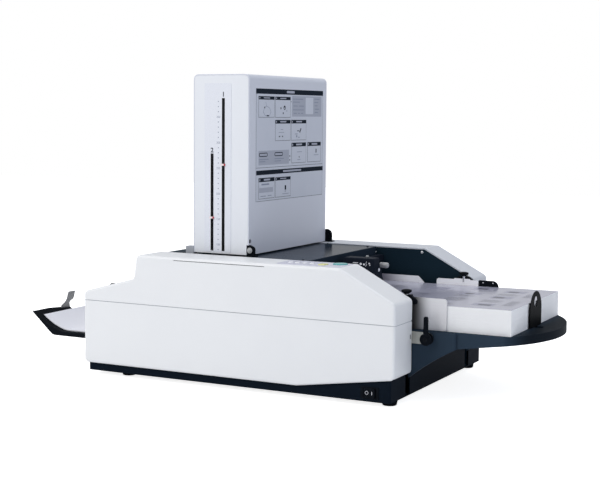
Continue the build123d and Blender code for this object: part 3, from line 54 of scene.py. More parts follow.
def spread(start, end, count):
    return [start + (end - start) * i / count for i in range(count + 1)]


def stand(name, data):
    thing = bpy.data.objects.new(name, data)
    scene.collection.objects.link(thing)
    return thing


print("frame loaded:", len(nodes), "nodes")


# camera, light and floor

camera = {"place": (895.237, -2369.751, 527.249), "yaw": 27.0663, "pitch": 5.5343, "roll": 0.4592, "lens": 78.798,
          "sensor": 36, "reach": 50}


def placeCamera(facts):
    yaw, pitch, roll = (math.radians(facts[k]) for k in ("yaw", "pitch", "roll"))
    data = bpy.data.cameras.new("viewCamera")
    data.lens, data.sensor_width, data.clip_end = facts["lens"], facts["sensor"], facts["reach"]
    seen = stand("viewCamera", data)
    turn = Matrix.Rotation(yaw, 4, "Z") @ Matrix.Rotation(math.pi / 2 - pitch, 4, "X") @ Matrix.Rotation(roll, 4, "Z")
    seen.matrix_world = Matrix.Translation(at(*facts["place"])) @ turn
    scene.camera = seen


placeCamera(camera)
scene.view_settings.view_transform = "Standard"

# a large soft box from the operator's left, a weaker one over the table end, and one overhead
lamps = {
    "keyPanel": {"place": (-1.7, -2.6, 1.9), "aim": (-0.1, 0, 0.25), "size": 2.2, "power": 58, "colour": "#FFFDFA"},
    "sidePanel": {"place": (2.6, -0.7, 0.6), "aim": (0.1, 0, 0.3), "size": 1.8, "power": 13, "colour": "#DCE8FF"},
    "topPanel": {"place": (0.1, 0.3, 2.6), "aim": (0, 0, 0.2), "size": 2.4, "power": 28, "colour": "#FBFCFF"},
}


def hexColour(code, alpha=1.0):
    # screen values turned into linear light
    parts = [int(code[i:i + 2], 16) / 255 for i in (1, 3, 5)]
    return tuple(c / 12.92 if c <= 0.04045 else ((c + 0.055) / 1.055) ** 2.4 for c in parts) + (alpha,)


def addNode(tree, kind, inputs=None, **settings):
    # an input is a value, a socket, or another node for its first output
    node = tree.nodes.new(kind)
    for name, value in settings.items():
        setattr(node, name, value)
    for socket, value in (inputs or {}).items():
        if isinstance(value, bpy.types.Node):
            value = value.outputs[0]
        if isinstance(value, bpy.types.NodeSocket):
            tree.links.new(value, node.inputs[socket])
        else:
            node.inputs[socket].default_value = value
    return node


def calc(tree, operation, first, second, third=0.5):
    return addNode(tree, "ShaderNodeMath", {0: first, 1: second, 2: third}, operation=operation)


def vectorOf(tree, x=0.0, y=0.0, z=0.0):
    return addNode(tree, "ShaderNodeCombineXYZ", {0: x, 1: y, 2: z})


for name, facts in lamps.items():
    data = bpy.data.lights.new(name, "AREA")
    data.shape, data.size, data.energy = "SQUARE", facts["size"], facts["power"]
    data.color = hexColour(facts["colour"])[:3]
    lamp = stand(name, data)
    lamp.location = facts["place"]
    lamp.rotation_euler = (Vector(facts["aim"]) - Vector(facts["place"])).to_track_quat("-Z", "Y").to_euler()

studio = {"skyColour": "#F3F5FA", "skyStrength": 0.46, "glossShare": 0.35, "floorColour": "#F4F5F7",
          "floorLift": 0.85, "floorSize": 12}


def whiteShare(tree, facts):
    # the backdrop is white to the eye and through glass, and paler grey in a shine
    path = addNode(tree, "ShaderNodeLightPath").outputs
    direct = calc(tree, "MAXIMUM", path["Is Camera Ray"], path["Is Transmission Ray"])
    return calc(tree, "MAXIMUM", direct, calc(tree, "MULTIPLY", path["Is Glossy Ray"], facts["glossShare"]))


def studioWorld(facts):
    world = bpy.data.worlds.new("studioWorld")
    scene.world = world
    world.use_nodes = True
    tree = world.node_tree
    tree.nodes.clear()
    soft = addNode(tree, "ShaderNodeBackground",
                   {"Color": hexColour(facts["skyColour"]), "Strength": facts["skyStrength"]})
    white = addNode(tree, "ShaderNodeBackground", {"Color": (1, 1, 1, 1), "Strength": 1})
    both = addNode(tree, "ShaderNodeMixShader", {0: whiteShare(tree, facts), 1: soft, 2: white})
    addNode(tree, "ShaderNodeOutputWorld", {"Surface": both})


def studioFloor(facts):
    mesh = bpy.data.meshes.new("studioFloor")
    mesh.from_pydata([(u * facts["floorSize"] / 2, v * facts["floorSize"] / 2, 0)
                      for u, v in ((-1, -1), (1, -1), (1, 1), (-1, 1))], [], [(0, 1, 2, 3)])
    material = bpy.data.materials.new("palePaperSweep")
    material.use_nodes = True
    tree = material.node_tree
    tree.nodes.clear()
    lift = calc(tree, "MULTIPLY", whiteShare(tree, facts), facts["floorLift"])
    sheet = addNode(tree, "ShaderNodeBsdfDiffuse", {"Color": hexColour(facts["floorColour"])})
    glow = addNode(tree, "ShaderNodeEmission", {"Strength": lift})
    both = addNode(tree, "ShaderNodeAddShader", {0: sheet, 1: glow})
    addNode(tree, "ShaderNodeOutputMaterial", {"Surface": both})
    mesh.materials.append(material)
    stand("studioFloor", mesh)


studioWorld(studio)
studioFloor(studio)
print("camera, lamps and floor set")


# finishes

def newFinish(name, **facts):
    material = bpy.data.materials.new(name)
    material.use_nodes = True
    tree = material.node_tree
    for socket, value in facts.items():
        tree.nodes["Principled BSDF"].inputs[socket.replace("_", " ")].default_value = value
    return material, tree, addNode(tree, "ShaderNodeTexCoord").outputs["Object"]


def dress(tree, toneBy, grainBy, colour, tint, rough, depth, spread, strength):
    # one texture moves the colour, another the sheen and the height
    tone = addNode(tree, "ShaderNodeMix", {0: toneBy, 6: hexColour(colour), 7: hexColour(tint)}, data_type="RGBA")
    sheen = addNode(tree, "ShaderNodeMapRange",
                    {"Value": grainBy, "To Min": rough - spread, "To Max": rough + spread})
    bump = addNode(tree, "ShaderNodeBump", {"Strength": strength, "Distance": depth, "Height": grainBy})
    for node, out, socket in ((tone, 2, "Base Color"), (sheen, 0, "Roughness"), (bump, 0, "Normal")):
        tree.links.new(node.outputs[out], tree.nodes["Principled BSDF"].inputs[socket])


def grainedFinish(name, colour, tint, cloud, grain, depth, rough, spread=0.08, **sockets):
    # cloud and grain are the sizes in metres of the tone patches and of the surface grain
    material, tree, place = newFinish(name, **sockets)
    broad = addNode(tree, "ShaderNodeTexNoise", {"Vector": place, "Scale": 1 / cloud, "Detail": 3})
    fine = addNode(tree, "ShaderNodeTexNoise", {"Vector": place, "Scale": 1 / grain, "Detail": 2})
    dress(tree, broad, fine, colour, tint, rough, depth, spread, strength=0.6)
    return material


def brushedFinish(name, colour, tint, along, line, depth, rough, metal=1.0, drawnOut=50):
    # line is the brush line's width in metres, drawn out on the axis it runs along
    material, tree, place = newFinish(name, Metallic=metal)
    stretch = [1 / drawnOut if axis == along else 1.0 for axis in "XYZ"]
    drawn = addNode(tree, "ShaderNodeMapping", {"Vector": place, "Scale": stretch})
    lines = addNode(tree, "ShaderNodeTexNoise", {"Vector": drawn, "Scale": 1 / line, "Detail": 4})
    dress(tree, lines, lines, colour, tint, rough, depth, spread=0.1, strength=0.5)
    return material


def axesOf(tree):
    place = addNode(tree, "ShaderNodeTexCoord").outputs["Object"]
    return addNode(tree, "ShaderNodeSeparateXYZ", {0: place}).outputs


def blend(tree, mask, colour, rough, metal=None):
    # mixes new values over the finish's own, by the mask
    shader = tree.nodes["Principled BSDF"]
    for socket, new in (("Base Color", hexColour(colour)), ("Roughness", rough), ("Metallic", metal)):
        if new is None:
            continue
        kind, first, second, out = ("RGBA", 6, 7, 2) if socket == "Base Color" else ("FLOAT", 2, 3, 0)
        links = shader.inputs[socket].links
        old = links[0].from_socket if links else shader.inputs[socket].default_value
        mix = addNode(tree, "ShaderNodeMix", {0: mask, first: old, second: new}, data_type=kind)
        tree.links.new(mix.outputs[out], shader.inputs[socket])


def patch(material, bands, colour, rough, metal=0.0):
    # another colour and sheen where a finish lies in every band, each an axis with its two ends in millimetres
    tree = material.node_tree
    axes = axesOf(tree)
    mask = 1.0
    for axis, (low, high) in bands.items():
        middle = (feedEnd if axis == 0 else 0) + (low + high) / 2 * mm
        inside = calc(tree, "COMPARE", axes[axis], middle, (high - low) / 2 * mm)
        mask = calc(tree, "MULTIPLY", mask, inside)
    blend(tree, mask, colour, rough, metal)


def fall(tree, along, start, end):
    # one at the start, nothing at the end
    return addNode(tree, "ShaderNodeMapRange",
                   {"Value": along, "From Min": start, "From Max": end, "To Min": 1.0, "To Max": 0.0},
                   interpolation_type="SMOOTHSTEP")


def fadeAlong(material, full, none, colour, rough):
    # paints shade along the machine, running from a darker tone into the finish itself, in millimetres from the feed
    # end
    tree = material.node_tree
    amount = fall(tree, axesOf(tree)[0], feedEnd + full * mm, feedEnd + none * mm)
    blend(tree, amount, colour, rough)


dull = {"Specular_IOR_Level": 0.015}

# spark-eroded ABS, moulded: an even off-white with a soft highlight and a barely felt grain
mouldedAbs = grainedFinish("mouldedAbs", "#E6E8EA", "#E1E3E6", 0.12, 0.0016, 0.00004, 0.42, IOR=1.53)
# the same ABS on the rear covers, painted a little greyer as shade, for the less light their tops take
shadedRearAbs = grainedFinish("shadedRearAbs", "#CDD1D8", "#C8CCD3", 0.12, 0.0016, 0.00004, 0.42, IOR=1.53)
# powder-coated sheet steel: cool light grey, satin, with a fine orange peel; on the tower shell it is set greyer than
# on the slotted plate, as painted shade on the tower's shaded side
shadedPowderCoat = grainedFinish("shadedPowderCoat", "#CED2DD", "#C7CCD8", 0.15, 0.0022, 0.00005, 0.36, IOR=1.5)
# the same coat on the slotted plate, with painted shade: the slots' walls are painted near black, as the dark inside
# them
slottedCoatSlotShade = grainedFinish("slottedCoatSlotShade", "#E0E3E8", "#DADEE5", 0.15, 0.0022, 0.00005, 0.36, IOR=1.5)
# baked enamel on sheet steel: deep green-blue, half matt, slightly uneven in the light
blueEnamel = grainedFinish("blueEnamel", "#1D2D38", "#182731", 0.09, 0.0018, 0.00004, 0.46, **dull)
# black stoved enamel: near black with a satin edge to it
blackEnamel = grainedFinish("blackEnamel", "#0E151E", "#131B25", 0.08, 0.0018, 0.00004, 0.5, **dull)
# gloss enamel over smooth sheet: dark slate, with the tower standing mirrored in it
glossEnamel = grainedFinish("glossEnamel", "#2A3440", "#242E3A", 0.16, 0.02, 0.00002, 0.2, 0.03,
                            Specular_IOR_Level=0.02)
# fine-texture powder coat: the table's slate grey, dull enough to show no reflections
tablePowder = grainedFinish("tablePowder", "#2A3744", "#313E4C", 0.1, 0.0014, 0.00007, 0.52, **dull)
# moulded nitrile rubber: black and matt
footRubber = grainedFinish("footRubber", "#101216", "#17191D", 0.02, 0.0009, 0.00008, 0.8, **dull)
# glass-filled nylon, moulded: black with a dry, slightly mottled skin; the brackets' catch block is left in its
# natural grey, and the sliders have a pressed-in pointer, pale with a red tip
blackNylon, bracketNylon, pointerNylon = [
    grainedFinish(name, "#0E1116", "#15191F", 0.02, 0.0012, 0.00006, 0.5, **dull)
    for name in ("blackNylon", "bracketNylon", "pointerNylon")]
# the same nylon moulded against a polished tool, a little smoother; its deeper black on the end guide is painted
# shade, on a face turned from the main light
guideNylonShaded = grainedFinish("guideNylonShaded", "#040609", "#070A0E", 0.02, 0.0012, 0.00003, 0.45, **dull)
# black ABS hood, moulded: a shade softer and bluer than the nylon
hoodAbs = grainedFinish("hoodAbs", "#1A1F29", "#20252F", 0.03, 0.0014, 0.00005, 0.45, **dull)
# light grey ABS, moulded: turned-looking knobs with a soft sheen
greyAbs = grainedFinish("greyAbs", "#A9ABAC", "#9FA1A3", 0.03, 0.001, 0.00004, 0.36)
# gloss ABS keys: the colour is in the plastic, the face is polished
whiteKey, yellowKey, tealKey = [
    grainedFinish(*facts, 0.01, 0.0011, 0.00002, 0.24)
    for facts in (("whiteKey", "#ECEDF1", "#E4E6EB"), ("yellowKey", "#E4E39C", "#DBDA92"),
                  ("tealKey", "#45A5A6", "#3F9B9C"))]
# screen-printed polyester film: pale lilac, dead flat, a little glossier than the cover
panelFilm = grainedFinish("panelFilm", "#D2D3E0", "#CCCDDB", 0.05, 0.001, 0.00001, 0.3)
scaleFilm = grainedFinish("scaleFilm", "#DDE0E8", "#D8DCE5", 0.08, 0.001, 0.00001, 0.28)
# stoved paint on the motor: dull black
motorPaint = grainedFinish("motorPaint", "#26282B", "#2E3033", 0.03, 0.001, 0.00006, 0.5)
# neoprene belt: black, chalky
beltRubber = grainedFinish("beltRubber", "#101113", "#191A1C", 0.02, 0.0015, 0.0001, 0.7)
# epoxy-glass board: green lacquer with lighter tracks under it
boardLacquer = grainedFinish("boardLacquer", "#124A2C", "#2B7A4B", 0.004, 0.002, 0.0001, 0.3)
# clear-anodised sheet, brushed first: whitish, with a soft milky shine along faint lines; the near guide's is set
# greyer and a little metallic as painted shade, the far guide's pure white and flat as painted light
nearPlateShaded = brushedFinish("nearPlateShaded", "#DADADD", "#CECED2", "X", 0.0006, 0.00001, 0.45, 0.22)
farPlateLightAndShade = brushedFinish("farPlateLightAndShade", "#FDFDFE", "#F6F6F9", "X", 0.0006, 0.00001, 0.45, 0.0)
# brushed stainless strap: warm grey, drawn in fine lines along its length
strapSteel = brushedFinish("strapSteel", "#A9A9A4", "#9B9C96", "X", 0.0006, 0.00001, 0.45)
# ground steel bar: bright, with lines round or along it
groundBar = brushedFinish("groundBar", "#C2C4C9", "#A5A7AD", "Y", 0.0009, 0.00002, 0.28)
# zinc-plated sheet inside the tower: grey with a faint drawn line
foldSheet = brushedFinish("foldSheet", "#7C7F85", "#6A6D74", "Z", 0.0015, 0.00003, 0.45)
# ground steel shaft with a ground rubber sleeve on it, which is black and matt
sleevedShaft, sleevedFeed = [brushedFinish(name, "#BFC1C6", "#A2A4AA", "Y", 0.0009, 0.00002, 0.3)
                             for name in ("sleevedShaft", "sleevedFeed")]
# ground rubber tyre: black and matt
groundRubber = grainedFinish("groundRubber", "#232427", "#2B2C2F", 0.03, 0.0012, 0.00008, 0.7, **dull)
# nylon cap moulded on a turned steel neck
cappedSteel = grainedFinish("cappedSteel", "#0E1013", "#17191D", 0.02, 0.0012, 0.00006, 0.42, **dull)
# uncoated paper edges: bluish white, quite matt
paperEdge = grainedFinish("paperEdge", "#F4F5F6", "#EEEFF1", 0.03, 0.0012, 0.00003, 0.6)
# coated paper: lilac white with a light gloss over the print
coatedPaper = grainedFinish("coatedPaper", "#A9AABA", "#A2A3B4", 0.05, 0.0016, 0.000004, 0.17, 0.02)
foldedPaper = grainedFinish("foldedPaper", "#ECEDF5", "#E6E8F1", 0.05, 0.0016, 0.00003, 0.45)
# smoke-tinted polyester: grey film that lets some light through
smokeFilm = grainedFinish("smokeFilm", "#8A8C8E", "#7E8082", 0.05, 0.002, 0.00001, 0.25, Alpha=0.8)

# the tower's two slots: their width and foot, then centre and top of each, and the pointers in them
slots = {"half": 3.3, "foot": 255.2, "ends": [(-407.4, 554.5), (-432.7, 446.5)],
         "pointerY": (-157, -152.6), "pointerHalf": 5, "redTip": 2}
for centre, top in slots["ends"]:
    for coat in (slottedCoatSlotShade, scaleFilm):
        # painted shade: near black on the slot walls of the plate and the scale, for the dark inside the slots
        patch(coat, {0: (centre - slots["half"], centre + slots["half"]), 2: (slots["foot"], top)}, "#030406", 0.8)
    right = centre + slots["pointerHalf"]
    for left, colour in ((centre - slots["pointerHalf"], "#E9DCDD"), (right - slots["redTip"], "#C8303A")):
        patch(pointerNylon, {1: slots["pointerY"], 0: (left, right)}, colour, 0.4)

# painted shade along the seam between the upper and lower covers
for coat in (mouldedAbs, shadedRearAbs):
    patch(coat, {2: (151.05, 152.06)}, "#A3A8AF", 0.6)  # seam of the covers
# painted shade: a dark patch standing in for the latch slot's hollow
patch(mouldedAbs, {0: (-4, -0.1), 1: (-174.6, -171.4), 2: (117.9, 127.1)}, "#22262C", 0.6)  # latch slot
patch(bracketNylon, {0: (-495, -474.5)}, "#A6AAB1", 0.45)  # catch block
patch(cappedSteel, {2: (150, 199)}, "#C9CACE", 0.3, 1.0)  # necks of the thumb knobs
patch(sleevedShaft, {1: (-152.8, 152.8)}, "#232427", 0.7)  # rubber on the fold rollers
patch(sleevedFeed, {1: (-23.2, 23.2)}, "#232427", 0.7)  # and on the feed roller
# painted shade where the table's end bows away from the light
fadeAlong(tablePowder, 208, 168, "#161C23", 0.5)  # the table's bowed end
# painted shade on the guides' ends, where the covers and the tower shade them
fadeAlong(nearPlateShaded, -8, 34, "#2E2E2F", 0.6)  # the guides' shaded ends
fadeAlong(farPlateLightAndShade, -210, -130, "#8F8C98", 0.5)

finishOf = {
    "base_pan": blackEnamel, "rubber_feet": footRubber, "front_frame rear_frame delivery_hood": blueEnamel,
    "frame_rods table_carriage motor_rotor": groundBar, "front_lower_cover front_upper_cover": mouldedAbs,
    "rear_lower_cover rear_upper_cover": shadedRearAbs, "top_deck": glossEnamel, "circuit_boards": boardLacquer,
    "shaft_bushes switch_bezel power_rocker power_inlet tower_lugs": blackNylon,
    "near_clip far_bracket clamp_lever delivery_tray delivery_arms": blackNylon,
    "operation_panel": panelFilm, "start_key": tealKey, "stop_key": yellowKey,
    "set_key_1 set_key_2 set_key_3 set_key_4": whiteKey, "paper_guides fold_plates": foldSheet,
    "tower_brackets": bracketNylon, "tower_shell": shadedPowderCoat, "tower_front": slottedCoatSlotShade,
    "scale_plate": scaleFilm, "stopper_1 stopper_2": pointerNylon, "drive_belt": beltRubber, "motor": motorPaint,
    "fold_roller_1 fold_roller_2 fold_roller_3 fold_roller_4": sleevedShaft, "feed_roller": sleevedFeed,
    "feed_head": hoodAbs, "separator_knob": greyAbs, "feed_table": tablePowder, "paper_stack": paperEdge,
    "near_guide": nearPlateShaded, "far_guide": farPlateLightAndShade, "near_thumb_knob far_thumb_knob": cappedSteel,
    "end_guide": guideNylonShaded, "lever_strap": strapSteel, "tray_flap": smokeFilm, "folded_sheets": foldedPaper,
    "delivery_wheels": groundRubber,
}

for names, finish in finishOf.items():
    for name in names.split():
        for place in nodes[name].material_slots:
            place.material = finish
print("finishes set on", sum(len(names.split()) for names in finishOf), "nodes")


# flat prints: thin films built up on a face

def plate(u0, u1, v0, v1, corner=0.0, cuts=4):
    # an outline from left to right and foot to top, its corners rounded in so many cuts
    if corner == 0:
        return [(u0, v0), (u1, v0), (u1, v1), (u0, v1)]
    spots = []
    for u, v, first in ((u1, v0, -90), (u1, v1, 0), (u0, v1, 90), (u0, v0, 180)):
        u, v = u - math.copysign(corner, u - (u0 + u1) / 2), v - math.copysign(corner, v - (v0 + v1) / 2)
        for angle in spread(math.radians(first), math.radians(first + 90), cuts):
            spots.append((u + corner * math.cos(angle), v + corner * math.sin(angle)))
    return spots


def disc(u, v, radius, count=16):
    return [(u + radius * math.cos(math.tau * i / count), v + radius * math.sin(math.tau * i / count))
            for i in range(count)]


def stroke(spots, wide):
    # a line through the spots, one plate for each run
    runs = []
    for (u0, v0), (u1, v1) in zip(spots, spots[1:]):
        length = math.hypot(u1 - u0, v1 - v0)
        du, dv = (u1 - u0) / length * wide / 2, (v1 - v0) / length * wide / 2
        runs.append([(u0 - du + dv, v0 - dv - du), (u1 + du + dv, v1 + dv - du), (u1 + du - dv, v1 + dv + du),
                     (u0 - du - dv, v0 - dv + du)])
    return runs


def loft(shape, loops):
    # closes one body over rings of places
    rings = [[shape.verts.new(spot) for spot in loop] for loop in loops]
    faces = [shape.faces.new(rings[0]), shape.faces.new(rings[-1])]
    for first, second in zip(rings, rings[1:]):
        for i in range(len(first)):
            j = (i + 1) % len(first)
            faces.append(shape.faces.new((first[i], first[j], second[j], second[i])))
    return faces


def settle(name, shape, finishes, body):
    mesh = bpy.data.meshes.new(name)
    bmesh.ops.recalc_face_normals(shape, faces=shape.faces)
    shape.to_mesh(mesh)
    shape.free()
    for finish in finishes:
        mesh.materials.append(finish)
    piece = stand(name, mesh)
    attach(piece, body)
    return piece


def evaluated(thing):
    return bpy.data.meshes.new_from_object(thing.evaluated_get(bpy.context.evaluated_depsgraph_get()))


def printPiece(name, marks, spot, body, film=0.08, sunk=0.02):
    # marks are (ink, level, outline); spot turns millimetres along and up the face, and above it, to a place
    inks = list(dict.fromkeys(ink for ink, level, edge in marks))
    sheet = bmesh.new()
    for ink, level, edge in marks:
        for face in loft(sheet, [[spot(u, v, lift) for u, v in edge] for lift in (-sunk, (level + 1) * film)]):
            face.material_index = inks.index(ink)
    return settle(name, sheet, [inkOf[ink] for ink in inks], body)


def numeralPiece(name, words, ink, spot, body, bold=0.0, film=0.08, capHeight=0.7):
    # words are (text, u, v, height) in millimetres, each centred on its place
    drawn = bmesh.new()
    for text, u, v, tall in words:
        curve = bpy.data.curves.new(name, "FONT")
        curve.body, curve.size, curve.align_x, curve.resolution_u = text, tall / capHeight, "CENTER", 3
        curve.extrude, curve.offset = film / 2, bold
        writing = stand(name, curve)
        flat = evaluated(writing)
        bpy.data.objects.remove(writing)
        for vert in flat.vertices:
            x, y, z = vert.co
            vert.co = spot(u + x, v - tall / 2 + y, z + film / 2)
        drawn.from_mesh(flat)
        bpy.data.meshes.remove(flat)
    bmesh.ops.remove_doubles(drawn, verts=drawn.verts, dist=0.000001)
    return settle(name, drawn, [inkOf[ink]], body)


# screen ink, laid flat: dense, even and slightly dull, in the label's few tones
inks = {
    "paper": ("#C3C8D4", "#BDC3D0", 0.03, 0.4, {}), "slate": ("#161E29", "#1B242F", 0.02, 0.45, dull),
    "tint": ("#A2A7B6", "#9BA1B0", 0.02, 0.45, {}), "shade": ("#7F889C", "#788196", 0.02, 0.45, {}),
    "line": ("#444D5B", "#3E4755", 0.02, 0.45, {}), "white": ("#E9EBF1", "#E2E5EC", 0.02, 0.4, {}),
    "faint": ("#9A9CA8", "#9294A1", 0.02, 0.45, {}), "print": ("#3E4052", "#4A4C5E", 0.006, 0.3, {}),
    "light": ("#8C8DA0", "#999AAD", 0.008, 0.3, {})}
inkOf = {ink: grainedFinish("ink" + ink.title(), colour, tint, cloud, 0.001, 0.00001, rough, **sockets)
         for ink, (colour, tint, cloud, rough, sockets) in inks.items()}


# tower label: framed steps with plain pictograms, in millimetres across the tower and up from the desk
label = {
    "face": -350.2, "frame": (-124.6, 170, 352.3, 573.8), "line": 0.9, "rule": 418.7, "rowHalf": 0.8,
    "frameRound": 1.5, "innerRound": 1,
    # dark bands: left, right, foot, top, and the ends of the light bar in them
    "bands": [(-124.6, 170, 563.7, 573.8, 3.4, 37.6), (-123, 171.7, 404.5, 413.5, -11, 69.4)],
    # steps: left, right, foot, foot of the header, top
    "steps": [(-115, -49, 517.4, 552.5, 559), (-46, 20, 517.2, 552.5, 559),
              (-45.5, 20.3, 470.6, 505.2, 512.5), (23.6, 91.5, 470.6, 505.2, 512.5),
              (25.5, 91, 423.9, 457.7, 465.8), (98, 160.8, 423.9, 457.7, 465.8),
              (-113.5, -47.2, 357, 390.5, 398.5), (-44, 22.3, 357, 391, 397.5)],
    # two tinted notes, one with a lighter picture in it, one with two rounded tabs
    "notes": [("tint", 2, 27.5, 162.5, 519.3, 561.5), ("paper", 3, 88, 123.5, 524.4, 558.8),
              ("tint", 2, -114, 14.5, 423.7, 452)],
    "tabs": [(-112, -77), (-48, -12.6)], "tabFoot": 440.2, "tabTop": 448.1, "tabRound": 3.6,
    # light bars: in from the left or the middle, up from the foot, down from the top, corner
    "bandBar": (2.8, 2.6, 1.5), "number": (3, 6.5, 1.8, 1.8, 0.8), "title": (-12, 14, 2.4, 2.2, 0.9),
    "tabBar": (2, -2, 1.6, 1.6, 2.2),
    "rows": [(-111, -73, 435), (-111, -86, 430.5), (-48, -8, 435), (-48, -20, 430.5), (30, 76, 555), (30, 62, 549),
             (33, 52, 541), (57, 80, 541), (30, 80, 533), (34, 48, 526), (54, 62, 526), (68, 76, 526),
             (129, 153, 556), (129, 148, 549), (131, 144, 542), (131, 150, 535), (131, 146, 528)],
    # step pictures: a turned tower, a sheet on its way, a pressed key, a folded sheet
    "paths": [[(-86, 548), (-82, 540), (-92, 536), (-96, 528), (-88, 521), (-76, 522)],
              [(-82, 540), (-70, 536), (-64, 528), (-70, 522)]],
    "blade": [(60, 487), (66, 496), (69, 494), (63, 486)],
    "bars": {"slate": [(-82, -72, 519.8, 522, 0.9), (136.5, 140.5, 443, 451.5, 1), (-3.6, 2.6, 371, 380, 1)],
             "shade": [(0, 6, 530, 531.4), (-31, -8, 487, 488), (-22, -12, 493, 494), (40, 52, 483, 484.4),
                       (54, 62, 476, 477.4), (50, 72, 446, 447.2), (52, 66, 430, 431.2), (128, 150, 438, 439.2),
                       (-102, -70, 384, 387), (-106, -84, 361.5, 363), (-76, -60, 362, 363.4),
                       (-14, 14, 362.5, 363.6)],
             "line": [(-30, -24, 478, 480.6), (-17, -12, 478, 480.6), (50, 60, 489, 491)],
             "tint": [(-111, -53.5, 369.5, 379), (-3, 2, 366, 370.5)]},
    "dots": [("slate", 4, -90, 537, 1.8), ("line", 4, -22, 536, 2.4), ("slate", 4, -6, 537, 4.4),
             ("paper", 5, -6, 536, 2), ("line", 4, -12, 526, 2.2), ("shade", 4, 48, 479, 2.6),
             ("line", 4, 60, 436, 1.8)],
    "ticks": [(16.5, 20.5, 429.5, 432.5, 1), (16.5, 20.5, 437.5, 440.5, 1), (21.5, 24, 548.5, 550.5)],
}


def labelMarks(facts):
    def lightBar(left, right, low, high, shape):
        u0, u1, up, down, corner = shape
        return "tint", 4, plate(left + u0, right + u1, low + up, high - down, corner)

    y0, y1, z0, z1 = facts["frame"]
    line, foot, top = facts["line"], facts["tabFoot"], facts["tabTop"]
    marks = [("line", 0, plate(y0, y1, z0, z1, facts["frameRound"])),
             ("paper", 1, plate(y0 + line, y1 - line, z0 + line, z1 - line, facts["innerRound"]))]
    for left, right, low, high, bar0, bar1 in facts["bands"]:
        up, down, corner = facts["bandBar"]
        marks += [("slate", 2, plate(left, right, low, high)),
                  ("tint", 3, plate(bar0, bar1, low + up, high - down, corner))]
    marks.append(("line", 2, plate(y0, y1, facts["rule"] - line / 2, facts["rule"] + line / 2)))
    for left, right, low, head, high in facts["steps"]:
        middle = (left + right) / 2
        marks += [("line", 2, plate(left, right, low, high)),
                  ("paper", 3, plate(left + line, right - line, low + line, head)),
                  ("slate", 3, plate(left, right, head, high)),
                  lightBar(left, left, head, high, facts["number"]),
                  lightBar(middle, middle, head, high, facts["title"])]
    marks += [(ink, level, plate(*ends, facts["innerRound"])) for ink, level, *ends in facts["notes"]]
    for left, right in facts["tabs"]:
        marks += [("slate", 3, plate(left, right, foot, top, facts["tabRound"])),
                  lightBar(left, right, foot, top, facts["tabBar"])]
    half = facts["rowHalf"]
    marks += [("shade", 3, plate(left, right, z - half, z + half)) for left, right, z in facts["rows"]]
    marks += [("shade", 4, edge) for path in facts["paths"] for edge in stroke(path, line)]
    marks.append(("slate", 4, facts["blade"]))
    marks += [(ink, 4, plate(*ends)) for ink, bars in facts["bars"].items() for ends in bars]
    marks += [(ink, level, disc(*spot)) for ink, level, *spot in facts["dots"]]
    return marks + [("line", 2, plate(*ends)) for ends in facts["ticks"]]


towerFace = lambda y, z, lift: at(label["face"] + lift, y, z)
printPiece("towerLabel", labelMarks(label), towerFace, "tower")
print("tower label printed")


# fold-length scale beside the slots: a dot for each centimetre, with a number in every fifth place
scale = {"face": -152.5, "dotX": -418.7, "first": 258, "pitch": 10, "dots": 30, "radius": 1.1, "film": 0.14,
         "sunk": 0.02, "numberEvery": 5, "numberAt": 1, "numbers": range(100, 400, 50), "numberHeight": 4.2,
         "slotNumbers": [("1", -407.4, 562, 9), ("2", -432.7, 453.2, 9)]}
scaleFace = lambda x, z, lift: at(x, scale["face"] - lift, z)
words = [(str(value), scale["dotX"], scale["first"] + scale["pitch"] * (scale["numberAt"] + i * scale["numberEvery"]),
          scale["numberHeight"]) for i, value in enumerate(scale["numbers"])]
numeralPiece("scaleNumbers", words, "shade", scaleFace, "tower")
numeralPiece("slotNumbers", scale["slotNumbers"], "slate", scaleFace, "tower", bold=0.3)


def startTree(name, sockets):
    # sockets lists the names of the inputs by their kind
    tree = bpy.data.node_groups.new(name, "GeometryNodeTree")
    tree.interface.new_socket("Geometry", in_out="OUTPUT", socket_type="NodeSocketGeometry")
    for kind, names in {"Geometry": "Geometry", **sockets, "Material": "finish"}.items():
        for socket in names.split():
            tree.interface.new_socket(socket, in_out="INPUT", socket_type="NodeSocket" + kind)
    return tree, addNode(tree, "NodeGroupInput").outputs


def endTree(tree, given, shape):
    real = addNode(tree, "GeometryNodeRealizeInstances", {"Geometry": shape})
    coat = addNode(tree, "GeometryNodeSetMaterial", {"Geometry": real, "Material": given["finish"]})
    addNode(tree, "NodeGroupOutput", {"Geometry": coat})
    return tree


def growPiece(name, tree, values, body, spots=(), facing=()):
    # runs the tree on a mesh of loose points and keeps the result as a plain mesh
    mesh = bpy.data.meshes.new(name)
    mesh.from_pydata(list(spots), [], [])
    if facing:
        mesh.attributes.new("facing", "FLOAT_VECTOR", "POINT").data.foreach_set(
            "vector", [part for way in facing for part in way])
    piece = stand(name, mesh)
    modifier = piece.modifiers.new(name, "NODES")
    modifier.node_group = tree
    for item in tree.interface.items_tree:
        if item.in_out == "INPUT" and item.name in values:
            modifier[item.identifier] = values[item.name]
    grown = evaluated(piece)
    piece.modifiers.clear()
    piece.data = grown
    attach(piece, body)
    return piece


